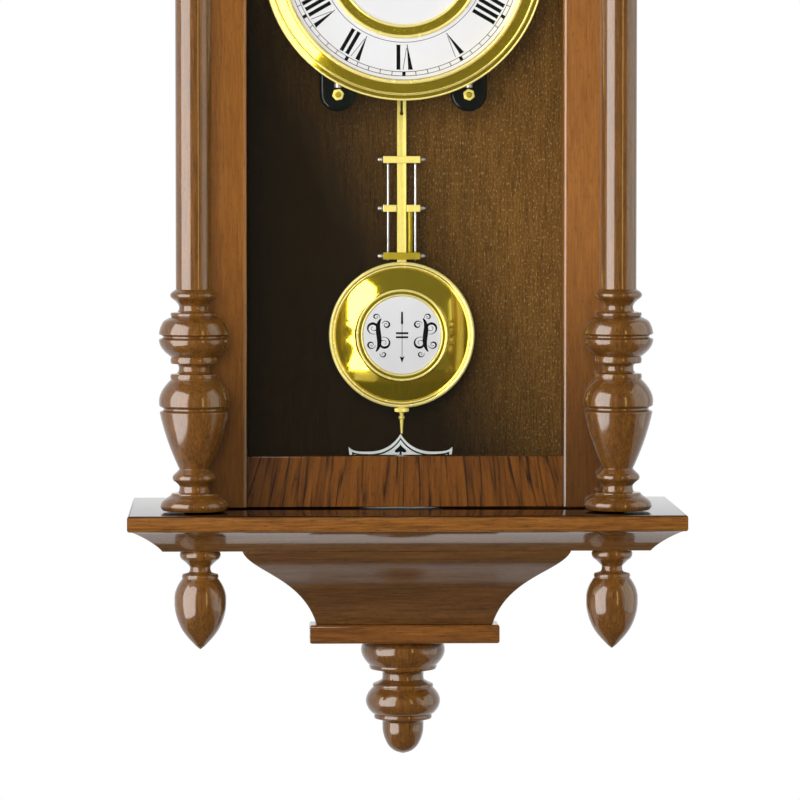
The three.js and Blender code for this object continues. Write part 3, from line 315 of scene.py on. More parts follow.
            # Painted glints: light specks where pores catch the light, about 1 mm wide and 2 mm long.
            glint_mask = add_node(
                tree,
                "ShaderNodeMapRange",
                {"From Min": 0.57, "From Max": 0.68, "To Max": self.painted_glints},
                {"Value": self.noise(tree, 0.9, 2.5, 2.0)},
            ).outputs["Result"]
            layers.append(("c0ac7c", glint_mask))
        for tint, share in layers:
            base = add_node(
                tree, "ShaderNodeMix", {7: linear(tint)}, {0: share, 6: base}, data_type="RGBA"
            ).outputs[2]
        # Painted shade, darker towards one end of the board.
        if self.painted_shade:
            base = self.paint_shade(tree, base)
        shader = add_node(
            tree,
            "ShaderNodeBsdfPrincipled",
            {
                "Roughness": 0.45,
                "Specular IOR Level": self.sheen,
                "Coat Weight": self.coat,
                "Coat Roughness": self.coat_roughness,
                "Coat IOR": self.coat_ior,
            },
            {"Base Color": base},
        ).outputs["BSDF"]
        add_node(tree, "ShaderNodeOutputMaterial", links={"Surface": shader})
        return material


@dataclass(frozen=True)
class Metal:
    """Worked metal: a sharp or satin shine, with faint cloudy handling marks in its roughness."""

    name: str
    colour: str
    stain: str
    roughness: float
    cloud_mm: float = 9.0
    spread: float = 0.06
    scratch: float = 0.04
    lacquer: float = 0.0
    metallic: float = 1.0
    lacquer_ior: float = 1.5

    def material(self) -> Material:
        """Builds the metal's nodes.

        Returns:
            The finished material.
        """
        material, tree = new_material(self.name)
        place = add_node(tree, "ShaderNodeTexCoord").outputs["Object"]
        clouds = add_node(
            tree,
            "ShaderNodeTexNoise",
            {"Scale": 1 / (self.cloud_mm * MM), "Detail": 4.0, "Roughness": 0.6},
            {"Vector": place},
        ).outputs["Fac"]
        colour = add_node(
            tree,
            "ShaderNodeValToRGB",
            links={"Fac": clouds},
            stops=((0.3, self.colour), (0.8, self.stain)),
        ).outputs["Color"]
        roughness = add_node(
            tree,
            "ShaderNodeMapRange",
            {
                "From Min": 0.3,
                "From Max": 0.7,
                "To Min": max(0.02, self.roughness - self.spread),
                "To Max": self.roughness + self.spread,
            },
            {"Value": clouds},
        ).outputs["Result"]
        # Polishing marks about 0.4 mm wide, coarser than real ones so that they show.
        marks = add_node(
            tree,
            "ShaderNodeTexNoise",
            {"Scale": 1 / (0.4 * MM), "Detail": 2.0},
            {"Vector": place},
        ).outputs["Fac"]
        bump = add_node(
            tree,
            "ShaderNodeBump",
            {"Strength": self.scratch, "Distance": 0.02 * MM},
            {"Height": marks},
        ).outputs["Normal"]
        shader = add_node(
            tree,
            "ShaderNodeBsdfPrincipled",
            {
                "Metallic": self.metallic,
                "Coat Weight": self.lacquer,
                "Coat Roughness": 0.03,
                "Coat IOR": self.lacquer_ior,
            },
            {"Base Color": colour, "Roughness": roughness, "Normal": bump},
        ).outputs["BSDF"]
        add_node(tree, "ShaderNodeOutputMaterial", links={"Surface": shader})
        return material


@dataclass(frozen=True)
class Coating:
    """Enamel, paint or printing ink: an even colour with a faint cloud and a clear skin."""

    name: str
    colour: str
    shade: str
    roughness: float
    coat: float = 0.3
    cloud_mm: float = 30.0
    grit: float = 0.02
    gloss: float = 0.5

    def material(self) -> Material:
        """Builds the coating's nodes.

        Returns:
            The finished material.
        """
        material, tree = new_material(self.name)
        place = add_node(tree, "ShaderNodeTexCoord").outputs["Object"]
        clouds = add_node(
            tree,
            "ShaderNodeTexNoise",
            {"Scale": 1 / (self.cloud_mm * MM), "Detail": 5.0},
            {"Vector": place},
        ).outputs["Fac"]
        colour = add_node(
            tree,
            "ShaderNodeValToRGB",
            links={"Fac": clouds},
            stops=((0.3, self.colour), (0.75, self.shade)),
        ).outputs["Color"]
        # Orange peel of a fired or sprayed skin, about 0.8 mm across.
        peel = add_node(
            tree, "ShaderNodeTexNoise", {"Scale": 1 / (0.8 * MM), "Detail": 1.0}, {"Vector": place}
        ).outputs["Fac"]
        bump = add_node(
            tree,
            "ShaderNodeBump",
            {"Strength": self.grit, "Distance": 0.05 * MM},
            {"Height": peel},
        ).outputs["Normal"]
        shader = add_node(
            tree,
            "ShaderNodeBsdfPrincipled",
            {
                "Roughness": self.roughness,
                "Specular IOR Level": self.gloss,
                "Coat Weight": self.coat,
                "Coat Roughness": 0.05,
            },
            {"Base Color": colour, "Normal": bump},
        ).outputs["BSDF"]
        add_node(tree, "ShaderNodeOutputMaterial", links={"Surface": shader})
        return material


@dataclass(frozen=True)
class Pane:
    """Clear window glass: all but invisible, with a faint sheen."""

    name: str = "clear_window_glass"
    alpha: float = 0.03

    def material(self) -> Material:
        """Builds the glass.

        Returns:
            The finished material.
        """
        material, tree = new_material(self.name)
        shader = add_node(
            tree,
            "ShaderNodeBsdfPrincipled",
            {"Base Color": linear("4a5048"), "Roughness": 0.04, "Alpha": self.alpha},
        ).outputs["BSDF"]
        add_node(tree, "ShaderNodeOutputMaterial", links={"Surface": shader})
        return material


class Finishes:
    """Every finish on the clock, each made once."""

    def __init__(self) -> None:
        """Makes the materials."""
        across, up = Grain.ACROSS, Grain.UP
        # Lacquered boards: streaked brown under a soft gloss.
        self.board = Walnut(
            "lacquered_walnut_board", across, "80501e", "673e17", "40240c", 5.0, 0.45, 0.45,
            coat_roughness=0.1,
        ).material()
        # The same on the shelf, with painted shade on its top.
        self.shelf = Walnut(
            "satin_walnut_shelf", across, "8c5a22", "704518", "44260c", 4.0, 0.4, 0.4,
            coat_roughness=0.1, painted_shade=((0.0, 0.0, 1.0), -358.9, -360.4, "4a4644"),
        ).material()
        # Thickly lacquered moulding: it mirrors a pale band.
        self.cove = Walnut(
            "lacquered_walnut_cove", across, "704b24", "5e3d1b", "432a12", 5.0, 0.45, 0.4,
            coat_roughness=0.1, coat_ior=1.9,
        ).material()
        # Darker moulding, rubbed down: a broad, dull band of light.
        self.moulding = Walnut(
            "dark_walnut_moulding", across, "66431f", "57381a", "3d2610", 5.0, 0.45, 0.4,
            coat=0.6, coat_roughness=0.16, coat_ior=1.6,
        ).material()
        # Straight-grained boards: even orange brown, with painted shade that darkens it towards the shelf.
        self.upright = Walnut(
            "lacquered_walnut_stile", up, "8f5c25", "81501e", "6b4016", 9.0, 0.3, 0.35,
            coat_roughness=0.08, painted_shade=((0.0, 0.0, 1.0), -340.0, -150.0, "9c9a98"),
        ).material()
        # Turned wood: fine grain and long highlights.
        self.turned = Walnut(
            "turned_lacquered_walnut", up, "744a18", "5f3b13", "41260a", 5.0, 0.4, 0.45,
            coat_roughness=0.12,
        ).material()
        # Figured veneer: dark growth lines that lean together, with painted shade at its left end.
        self.figured = Walnut(
            "figured_walnut_veneer", up, "764615", "643a12", "43240b", 6.0, 0.5, 0.5, 0.92,
            coat_roughness=0.1, lean=2.0, painted_shade=((1.0, 0.0, 0.0), -112.0, -50.0, "a2a2a2"),
        ).material()
        # Veneer with filled pores and no lacquer: flat brown with painted glints as light specks, and painted
        # shade that darkens it to the left and towards the foot.
        self.panel = Walnut(
            "veneer_with_painted_shade_and_glints", up, "7c5722", "684618", "4b300b", 8.0, 0.3, 0.6, 0.0, 0.4,
            coat=0.0, painted_shade=((1.0, 60.0, 0.5), -680.0, -544.0, "504e4a"),
        ).material()
        # Polished and lacquered brass: a yellow mirror.
        self.brass = Metal(
            "polished_brass", "ecd21e", "e4c818", 0.09, 9.0, 0.02, 0.02, 0.7, 0.86, 1.8
        ).material()
        # Dull brass: flat, greenish yellow.
        self.dull_brass = Metal("dull_brass", "b09c12", "a08c0a", 0.4, 6.0, metallic=0.5).material()
        # Satin brass: a pale, soft shine.
        self.satin_brass = Metal(
            "satin_brass", "f2e27c", "e8d66a", 0.45, 5.0, 0.04, metallic=0.3
        ).material()
        # Bead edges in pale satin brass: a painted highlight, bright lines all round.
        self.painted_highlight_edge = Metal(
            "brass_edge_painted_highlight", "fff09a", "f6e482", 0.25, 5.0, 0.04, metallic=0.35
        ).material()
        # Brushed plate: a warm, blurred shine.
        self.plate_brass = Metal("brushed_brass_plate", "c8a646", "b89238", 0.3, 6.0).material()
        # Polished steel: bright grey.
        self.steel = Metal("polished_steel", "eceef0", "dadde0", 0.16, metallic=0.7).material()
        # Blackened steel: near black with a faint blue shine.
        self.blued = Metal("blackened_steel", "1c1d26", "101118", 0.3).material()
        # Silvered scale: flat and near white.
        self.scale = Metal("silvered_scale", "e6eae8", "d8dedc", 0.45, 12.0, metallic=0.1).material()
        # Painted casting: black with a grainy skin.
        self.iron = Coating(
            "black_painted_casting", "030404", "070909", 0.4, 0.3, 6.0, 0.15, 0.05
        ).material()
        # Fired enamel: even white under a clear skin.
        self.enamel = Coating("white_dial_enamel", "d9d9dc", "d5d5d7", 0.3).material()
        # Printing ink: flat black.
        self.ink = Coating("black_dial_ink", "030304", "050506", 0.6, 0.0, gloss=0.05).material()
        # Thinner ink: the dark grey of fine lines.
        self.fine_ink = Coating("grey_dial_ink", "303034", "38383c", 0.6, 0.0, gloss=0.05).material()
        # Window glass: hardly seen.
        self.glass = Pane().material()


def at(x: float, y: float, z: float) -> Vector:
    """Turns a place in millimetres to metres."""
    return Vector((x, y, z)) * MM


def deselect() -> None:
    """Leaves edit mode and selects nothing."""
    if bpy.context.mode != "OBJECT":
        bpy.ops.object.mode_set(mode="OBJECT")
    bpy.ops.object.select_all(action="DESELECT")


def pick(*pieces: Piece) -> None:
    """Selects pieces, the first of them active.

    Args:
        pieces: Pieces to select.
    """
    deselect()
    for piece in pieces:
        piece.select_set(True)
    bpy.context.view_layer.objects.active = pieces[0]


def start(name: str) -> Piece:
    """Starts an empty mesh in edit mode.

    Args:
        name: Name of the piece.

    Returns:
        The piece, being edited.
    """
    deselect()
    bpy.ops.mesh.primitive_plane_add(size=MM, location=(0, 0, 0))
    piece = bpy.context.object
    piece.name = piece.data.name = name
    bpy.ops.object.mode_set(mode="EDIT")
    bpy.ops.mesh.delete(type="VERT")
    return piece


def trace(points: Sequence[Vector]) -> None:
    """Draws a chain of edges by extruding one corner.

    Args:
        points: Corners in metres.
    """
    bpy.ops.mesh.select_all(action="DESELECT")
    bpy.ops.mesh.primitive_plane_add(size=MM, location=(0, 0, 0))
    bpy.ops.mesh.merge(type="CENTER")
    bpy.ops.transform.translate(value=points[0])
    for here, there in zip(points, points[1:]):
        bpy.ops.mesh.extrude_vertices_move(TRANSFORM_OT_translate={"value": there - here})
    bpy.ops.mesh.select_linked()


def raise_face(points: Sequence[Vector], way: Sequence[float]) -> None:
    """Fills an outline and extrudes it.

    Args:
        points: Corners in metres.
        way: Direction and length in metres.
    """
    trace(points)
    bpy.ops.mesh.edge_face_add()
    bpy.ops.mesh.extrude_region_move(TRANSFORM_OT_translate={"value": way})


def settle(piece: Piece, smooth: float = SMOOTH) -> Piece:
    """Merges doubles, turns faces outwards, shades the piece and leaves edit mode.

    Args:
        piece: Piece that is being edited.
        smooth: Edges flatter than this many degrees are shaded smooth.

    Returns:
        The same piece.
    """
    bpy.ops.mesh.select_all(action="SELECT")
    bpy.ops.mesh.remove_doubles(threshold=0.002 * MM)
    bpy.ops.mesh.normals_make_consistent(inside=False)
    pick(piece)
    bpy.ops.object.shade_smooth_by_angle(angle=math.radians(smooth))
    return piece


def soften(piece: Piece, width: float, segments: int = 2, angle: float = SMOOTH) -> Piece:
    """Rounds a piece's sharp edges.

    Args:
        piece: Finished mesh.
        width: Width of the rounding in millimetres.
        segments: Steps across the rounding.
        angle: Edges sharper than this many degrees are rounded.

    Returns:
        The same piece.
    """
    pick(piece)
    bevel = piece.modifiers.new("rounded_edges", "BEVEL")
    bevel.width = width * MM
    bevel.segments = segments
    bevel.limit_method = "ANGLE"
    bevel.angle_limit = math.radians(angle)
    bevel.harden_normals = False
    bpy.ops.object.modifier_apply(modifier=bevel.name)
    bpy.ops.object.shade_smooth_by_angle(angle=math.radians(angle + 10))
    return piece


def carve(piece: Piece, *tools: Piece) -> Piece:
    """Cuts tools out of a piece and removes them.

    Args:
        piece: Piece that is cut.
        tools: Closed meshes to take away.

    Returns:
        The same piece.
    """
    for tool in tools:
        pick(piece)
        cutter = piece.modifiers.new("cut", "BOOLEAN")
        cutter.object = tool
        cutter.solver = "EXACT"
        bpy.ops.object.modifier_apply(modifier=cutter.name)
        bpy.data.objects.remove(tool)
    return piece


def fuse(name: str, pieces: Sequence[Piece]) -> Piece:
    """Joins meshes to one object.

    Args:
        name: Name of the joined piece.
        pieces: Meshes to join.

    Returns:
        The joined piece.
    """
    pick(*pieces)
    bpy.ops.object.join()
    piece = bpy.context.object
    piece.name = piece.data.name = name
    return piece


def turn(
    name: str,
    profile: Sequence[Pair],
    axis: Lathe,
    centre: Vector,
    steps: int = 64,
    smooth: float = SMOOTH,
) -> Piece:
    """Spins a profile to a turned piece.

    Args:
        name: Name of the piece.
        profile: Radius and place along the axis, in millimetres.
        axis: Axis of the lathe. A facing profile counts towards the room.
        centre: Point on the axis where the profile's places count from, in metres.
        steps: Sides of the turned piece.
        smooth: Edges flatter than this many degrees are shaded smooth.

    Returns:
        The turned piece.
    """
    out = Vector((0, 0, 1)) if axis is Lathe.SIDEWAYS else Vector((1, 0, 0))
    along = Vector(axis.value) * (-1 if axis is Lathe.FACING else 1)
    piece = start(name)
    trace([centre + out * radius * MM + along * place * MM for radius, place in profile])
    bpy.ops.mesh.spin(steps=steps, angle=2 * math.pi, center=centre, axis=axis.value)
    return settle(piece, smooth)


def plate(name: str, outlines: Sequence[Sequence[Pair]], depth: float, thickness: float) -> Piece:
    """Cuts plates that face the room.

    Args:
        name: Name of the piece.
        outlines: Closed outlines of x and z in millimetres.
        depth: Distance of the plates' backs from the wall, in millimetres.
        thickness: Thickness towards the room, in millimetres.

    Returns:
        The plates, as one piece.
    """
    piece = start(name)
    for outline in outlines:
        raise_face([at(x, -depth, z) for x, z in outline], (0, -thickness * MM, 0))
    return settle(piece, 30.0)


def prism(
    name: str, outline: Sequence[Pair], low: float, high: float, smooth: float = SMOOTH
) -> Piece:
    """Cuts an upright prism.

    Args:
        name: Name of the piece.
        outline: Closed outline of x and y in millimetres.
        low: Height of its foot in millimetres.
        high: Height of its top in millimetres.
        smooth: Edges flatter than this many degrees are shaded smooth.

    Returns:
        The prism.
    """
    piece = start(name)
    raise_face([at(x, y, low) for x, y in outline], (0, 0, (high - low) * MM))
    return settle(piece, smooth)


def rectangle(x0: float, z0: float, x1: float, z1: float) -> list[Pair]:
    """Outlines a rectangle between two corners."""
    return [(x0, z0), (x1, z0), (x1, z1), (x0, z1)]


def block(name: str, low: Sequence[float], high: Sequence[float]) -> Piece:
    """Cuts a block between two corners in millimetres."""
    return prism(name, rectangle(*low[:2], *high[:2]), low[2], high[2])


def moulded(
    name: str, half_width: float, depth: float, profile: Sequence[Pair], back: float = 0.0
) -> Piece:
    """Raises a board with a flat back and a moulding round its front and ends.

    Args:
        name: Name of the piece.
        half_width: Half of the widest width in millimetres.
        depth: Greatest depth from the wall in millimetres.
        profile: Setback and height of each step, from the bottom up, in millimetres.
        back: Distance of its back from the wall in millimetres.

    Returns:
        The board.
    """
    piece = start(name)
    setback, height = profile[0]
    x, y = half_width - setback, setback - depth
    trace([at(*corner, height) for corner in ((-x, -back), (-x, y), (x, y), (x, -back))])
    bpy.ops.mesh.edge_face_add()
    deep = depth - back
    for (inset0, z0), (inset1, z1) in zip(profile, profile[1:]):
        bpy.ops.mesh.extrude_region_move(TRANSFORM_OT_translate={"value": (0, 0, (z1 - z0) * MM)})
        narrower = ((half_width - inset1) / (half_width - inset0), (deep - inset1) / (deep - inset0), 1)
        bpy.ops.transform.resize(value=narrower, center_override=(0, -back * MM, z1 * MM))
    return settle(piece)


def arc(centre: Pair, radius: float, first: float, last: float, steps: int = 8) -> list[Pair]:
    """Lists points along an arc.

    Args:
        centre: Centre of the arc.
        radius: Its radius.
        first: First angle in degrees.
        last: Last angle in degrees.
        steps: Straight steps along it.

    Returns:
        The arc's points, both ends included.
    """
    angles = [math.radians(first + (last - first) * i / steps) for i in range(steps + 1)]
    return [(centre[0] + radius * math.cos(a), centre[1] + radius * math.sin(a)) for a in angles]


def bezier(a: Pair, b: Pair, c: Pair, d: Pair, steps: int = 16) -> list[Pair]:
    """Lists points along a cubic curve.

    Args:
        a: First end.
        b: Handle of the first end.
        c: Handle of the last end.
        d: Last end.
        steps: Straight steps along it.

    Returns:
        The curve's points, both ends included.
    """
    points = []
    for i in range(steps + 1):
        t = i / steps
        u = 1 - t
        weights = (u**3, 3 * u * u * t, 3 * u * t * t, t**3)
        points.append(tuple(sum(w * p[k] for w, p in zip(weights, (a, b, c, d))) for k in (0, 1)))
    return points


def keyhole(slot: Pair, hole: Pair, steps: tuple[int, int]) -> list[Pair]:
    """Outlines a slot that opens into a round hole below it.

    Args:
        slot: Height of the slot's upper end and half of its width.
        hole: Height and radius of the hole.
        steps: Straight steps round the slot's end and round the hole.

    Returns:
        The outline.
    """
    mouth = math.degrees(math.asin(slot[1] / hole[1]))
    end = arc((0, slot[0]), slot[1], 0, 180, steps[0])
    return end + arc((0, hole[0]), hole[1], 90 + mouth, 450 - mouth, steps[1])


def mirrored(right: Sequence[Pair]) -> list[Pair]:
    """Closes the right half of an outline, whose ends lie in the middle, with its mirror image."""
    return [*right, *((-x, z) for x, z in right[-2:0:-1])]


def ribbon(path: Sequence[Pair], widths: Sequence[float]) -> list[Pair]:
    """Gives a drawn line its width.

    Args:
        path: Points along the middle of the line.
        widths: Width of the line at each point.

    Returns:
        Outline of the line.
    """
    left, right = [], []
    last = len(path) - 1
    for i, ((x, z), width) in enumerate(zip(path, widths)):
        ahead, behind = path[min(i + 1, last)], path[max(i - 1, 0)]
        along = Vector((ahead[0] - behind[0], ahead[1] - behind[1])).normalized()
        left.append((x - along.y * width / 2, z + along.x * width / 2))
        right.append((x + along.y * width / 2, z - along.x * width / 2))
    return left + right[::-1]


def beads(name: str, sections: Sequence[tuple[float, float, float]], centre: Vector) -> Piece:
    """Rolls round wires that face the room.

    Args:
        name: Name of the piece.
        sections: Ring radius, distance from the wall and wire radius, in millimetres.
        centre: Point on the common axis, in metres.

    Returns:
        The wires, as one piece.
    """
    wires = []
    for i, (ring, depth, wire) in enumerate(sections):
        section = arc((ring, depth), wire, 0, 360, 14)
        wires.append(turn(f"{name}_{i}", section, Lathe.FACING, centre, ROUND_STEPS, 60))
    return fuse(name, wires)


def fit(piece: Piece, body: str, finish: Material, slot: str, *nodes: str) -> Piece:
    """Dresses a new piece and hangs it on its body.

    Args:
        piece: The new piece.
        body: Body of the clock that carries it.
        finish: Material of the whole piece.
        slot: Material slot of the record; not used.
        nodes: Solids that it stands for.

    Returns:
        The same piece.
    """
    piece.data.materials.clear()
    piece.data.materials.append(finish)
    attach(piece, body)
    if nodes:
        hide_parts(*nodes)
    log.info("%s on %s", piece.name, body)
    return piece


def dress(finish: Material, *nodes: str) -> None:
    """Gives solids that stay as they are their finish.

    Args:
        finish: Their material.
        nodes: Names of the solids.
    """
    for node in nodes:
        solid = frame["nodes"][node]
        solid.data.materials.clear()
        solid.data.materials.append(finish)
        log.info("%s dressed", node)


def middle(node: str) -> tuple[Vector, Vector, Vector]:
    """Measures a solid.

    Args:
        node: Name of the solid.

    Returns:
        Its lowest corner, its middle and its highest corner, in millimetres.
    """
    low, high = (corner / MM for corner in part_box(node))
    return low, (low + high) / 2, high


def turning(radius: float, parts: Turned, way: float = 1.0, steps: int = 9) -> list[Pair]:
    """Lists the profile of a turning from the middle of its base.

    Args:
        radius: Radius at the base.
        parts: Rise, radius at the end and, on a bowed part, radius halfway.
        way: 1 climbs and -1 hangs down.
        steps: Straight steps along a bowed part.

    Returns:
        Radius and height pairs.
    """
    profile = [(0.0, 0.0), (radius, 0.0)]
    for rise, end, *bowed in parts:
        begin, base = profile[-1]
        bow = 4 * bowed[0] - 2 * (begin + end) if bowed else 0.0
        for i in range(1, steps + 1 if bowed else 2):
            t = i / steps if bowed else 1.0
            profile.append((begin + (end - begin) * t + bow * t * (1 - t), base + way * rise * t))
    return profile


@dataclass
class Joinery:
    """Fixed case: boards, mouldings and turned ornaments."""

    finishes: Finishes
    board_ease: float = 1.8
    plinth_ease: float = 1.0
    cove_reach: float = 19.5
    plinth_overhang: float = 4.5
    corbel_back: float = 71.0
    block_half_width: float = 44.0
    keyhole_climb: float = 13.0
    keyhole_half_width: float = 2.6
    keyhole_radius: float = 5.0
    screw_inset: float = 6.0
    drop_radius: float = 12.2
    drop_parts: Turned = (
        (5.6, 12.3, 13.3), (5.0, 6.8, 9.2), (2.6, 6.9, 6.7), (1.4, 8.1, 7.2), (0.8, 11.4),
        (2.9, 11.6, 11.9), (14.1, 16.8, 15.7), (18.1, 12.5, 15.9), (10.3, 4.2, 9.0), (3.6, 0.0, 2.4),
    )
    finial_radius: float = 25.0
    finial_parts: Turned = (
        (16.9, 23.2, 27.8), (0.8, 22.4), (2.7, 21.8, 22.3), (2.6, 13.8, 16.0), (4.4, 14.0, 13.6),
        (2.7, 19.7, 16.4), (2.4, 19.8, 20.1), (17.1, 20.8, 24.7), (0.9, 18.8), (2.9, 18.8, 19.2),
        (2.3, 13.7, 15.0), (4.1, 13.6), (10.6, 10.4, 12.7), (3.9, 6.9, 9.0), (2.7, 0.0, 4.4),
    )

    def build(self) -> None:
        """Builds and dresses the case."""
        self.boards()
        self.corbel()
        self.turnings()
        self.crest()
        dress(self.finishes.panel, "back_board")
        dress(self.finishes.upright, "side_left", "side_right")
        self.hanger()

    def boards(self) -> None:
        """Builds the shelf, the cove below it and the cornice."""
        low, _, high = middle("shelf")
        thickness = high.z - low.z
        shelf = moulded("shelf_board", high.x, -low.y, self.eased(low.z, high.z))
        fit(soften(shelf, 0.3), "case", self.finishes.shelf, "walnut", "shelf")
        low, _, high = middle("base_cove")
        cove_half_width = high.x
        cove = moulded("base_cove_moulding", high.x, -low.y, self.cove(high.z, low.z)[::-1])
        fit(soften(cove, 0.4), "case", self.finishes.cove, "walnut", "base_cove")
        low, _, high = middle("cornice")
        rise, setback = low.z + thickness, high.x - cove_half_width
        hollow = [(setback + inset, z) for inset, z in self.cove(rise, high.z)]
        cornice = moulded("cornice_moulding", high.x, -low.y, self.eased(low.z, rise) + hollow)
        fit(soften(cornice, 0.3), "case", self.finishes.board, "walnut", "cornice")

    def eased(self, low: float, high: float) -> list[Pair]:
        """Lists the front edge of a board with rounded corners.

        Args:
            low: Height of its underside.
            high: Height of its top.

        Returns:
            Setbacks and heights from the bottom up.
        """
        ease = self.board_ease
        corner = arc((ease, ease), ease, 270, 180, 6)
        return [(x, low + z) for x, z in corner] + [(x, high - z) for x, z in corner[::-1]]

    def cove(self, wide: float, narrow: float) -> list[Pair]:
        """Lists a hollow moulding.

        Args:
            wide: Height of its wide end.
            narrow: Height of its narrow end.

        Returns:
            Setbacks and heights from the wide end to the narrow one.
        """
        handles = ((0.0, 0.0), (0.33, 0.2), (0.84, 0.68), (1.0, 1.0))
        return bezier(*((self.cove_reach * x, wide + (narrow - wide) * z) for x, z in handles))

    def corbel(self) -> None:
        """Builds the ogee corbel and the plinth under it."""
        low, _, high = middle("corbel")
        base, _, cap = middle("plinth")
        draw_in, height = high.x - cap.x + self.plinth_overhang, high.z - low.z
        handles = ((1.0, 1.0), (0.81, 0.39), (0.11, 0.26), (0.0, 0.0))
        ogee = bezier(*((draw_in * x, high.z - height * z) for x, z in handles), 24)
        ease, back, half = self.plinth_ease, self.corbel_back, self.block_half_width
        edge = ((ease, base.z), (0.0, base.z + ease), (0.0, cap.z - ease), (ease, cap.z))
        for node, profile, finish in (
            ("corbel", ogee, self.finishes.moulding),
            ("plinth", edge, self.finishes.board),
        ):
            low, _, high = middle(node)
            front = soften(moulded(f"{node}_front", high.x, -low.y, profile, back), 0.4)
            behind = block(f"{node}_behind", (-half, -back, low.z), (half, 0, high.z))
            fit(fuse(f"{node}_block", [front, soften(behind, 0.3)]), "case", finish, "walnut", node)

    def turnings(self) -> None:
        """Turns the two drops and the finials."""
        drop = turning(self.drop_radius, self.drop_parts, -1)
        finial = turning(self.finial_radius, self.finial_parts, -1)
        upturned = turning(self.drop_radius, self.drop_parts)
        for node, profile, ease in (
            ("drop_left", drop, 0.2),
            ("drop_right", drop, 0.2),
            ("bottom_finial", finial, 0.25),
            ("crest_finial", upturned, 0.2),
        ):
            low, centre, high = middle(node)
            spot = at(centre.x, centre.y, low.z if profile is upturned else high.z)
            piece = soften(turn(f"{node}_turning", profile, Lathe.UPRIGHT, spot), ease)
            fit(piece, "case", self.finishes.turned, "walnut", node)

    def crest(self) -> None:
        """Saws the shaped crest board."""
        low, _, high = middle("crest")
        drop_low, _, drop_high = middle("drop_left")
        half, top_half = high.x, (drop_high.x - drop_low.x) * 0.75
        foot = low.z + (high.z - low.z) / 6
        waist = (half + top_half) / 2
        curve = bezier((half, foot), (waist, foot), (waist, high.z), (top_half, high.z), 24)
        outline = [(half, low.z), *curve]
        outline += [(-x, z) for x, z in outline[::-1]]
        crest = soften(plate("crest_board", [outline], -high.y, high.y - low.y), 0.8)
        fit(crest, "case", self.finishes.board, "walnut", "crest")

    def hanger(self) -> None:
        """Cuts the hanger plate with its keyhole, and sinks its two screws."""
        low, centre, high = middle("hanger_plate")
        thickness, reach = high.y - low.y, self.keyhole_climb / 2
        strip = plate("hanger_strip", [rectangle(low.x, low.z, high.x, high.z)], -high.y, thickness)
        slot, hole = (centre.z + reach, self.keyhole_half_width), (centre.z - reach, self.keyhole_radius)
        carve(strip, plate("keyhole", [keyhole(slot, hole, (12, 24))], -1, thickness + 2))
        sink = [(0.0, -0.2), (3.0, -0.2), (3.0, 0.0), (1.4, 1.6), (0.0, 1.6)]
        head = [(0.0, 0.1), (2.7, 0.1), (2.8, 0.2), (1.4, 1.6), (0.0, 1.6)]
        screws = []
        for side in (-1, 1):
            x = side * (high.x - self.screw_inset)
            spot = at(x, 0, centre.z)
            carve(strip, turn("sink", sink, Lathe.FACING, spot, 32))
            screw = turn(f"screw_{side}", head, Lathe.FACING, spot, 32)
            groove = block("slot", (x - 3, -0.7, centre.z - 0.4), (x + 3, 0.5, centre.z + 0.4))
            screws.append(carve(screw, groove))
        hanger = fuse("keyhole_hanger", [soften(strip, 0.15), *screws])
        fit(hanger, "case", self.finishes.steel, "steel", "hanger_plate")


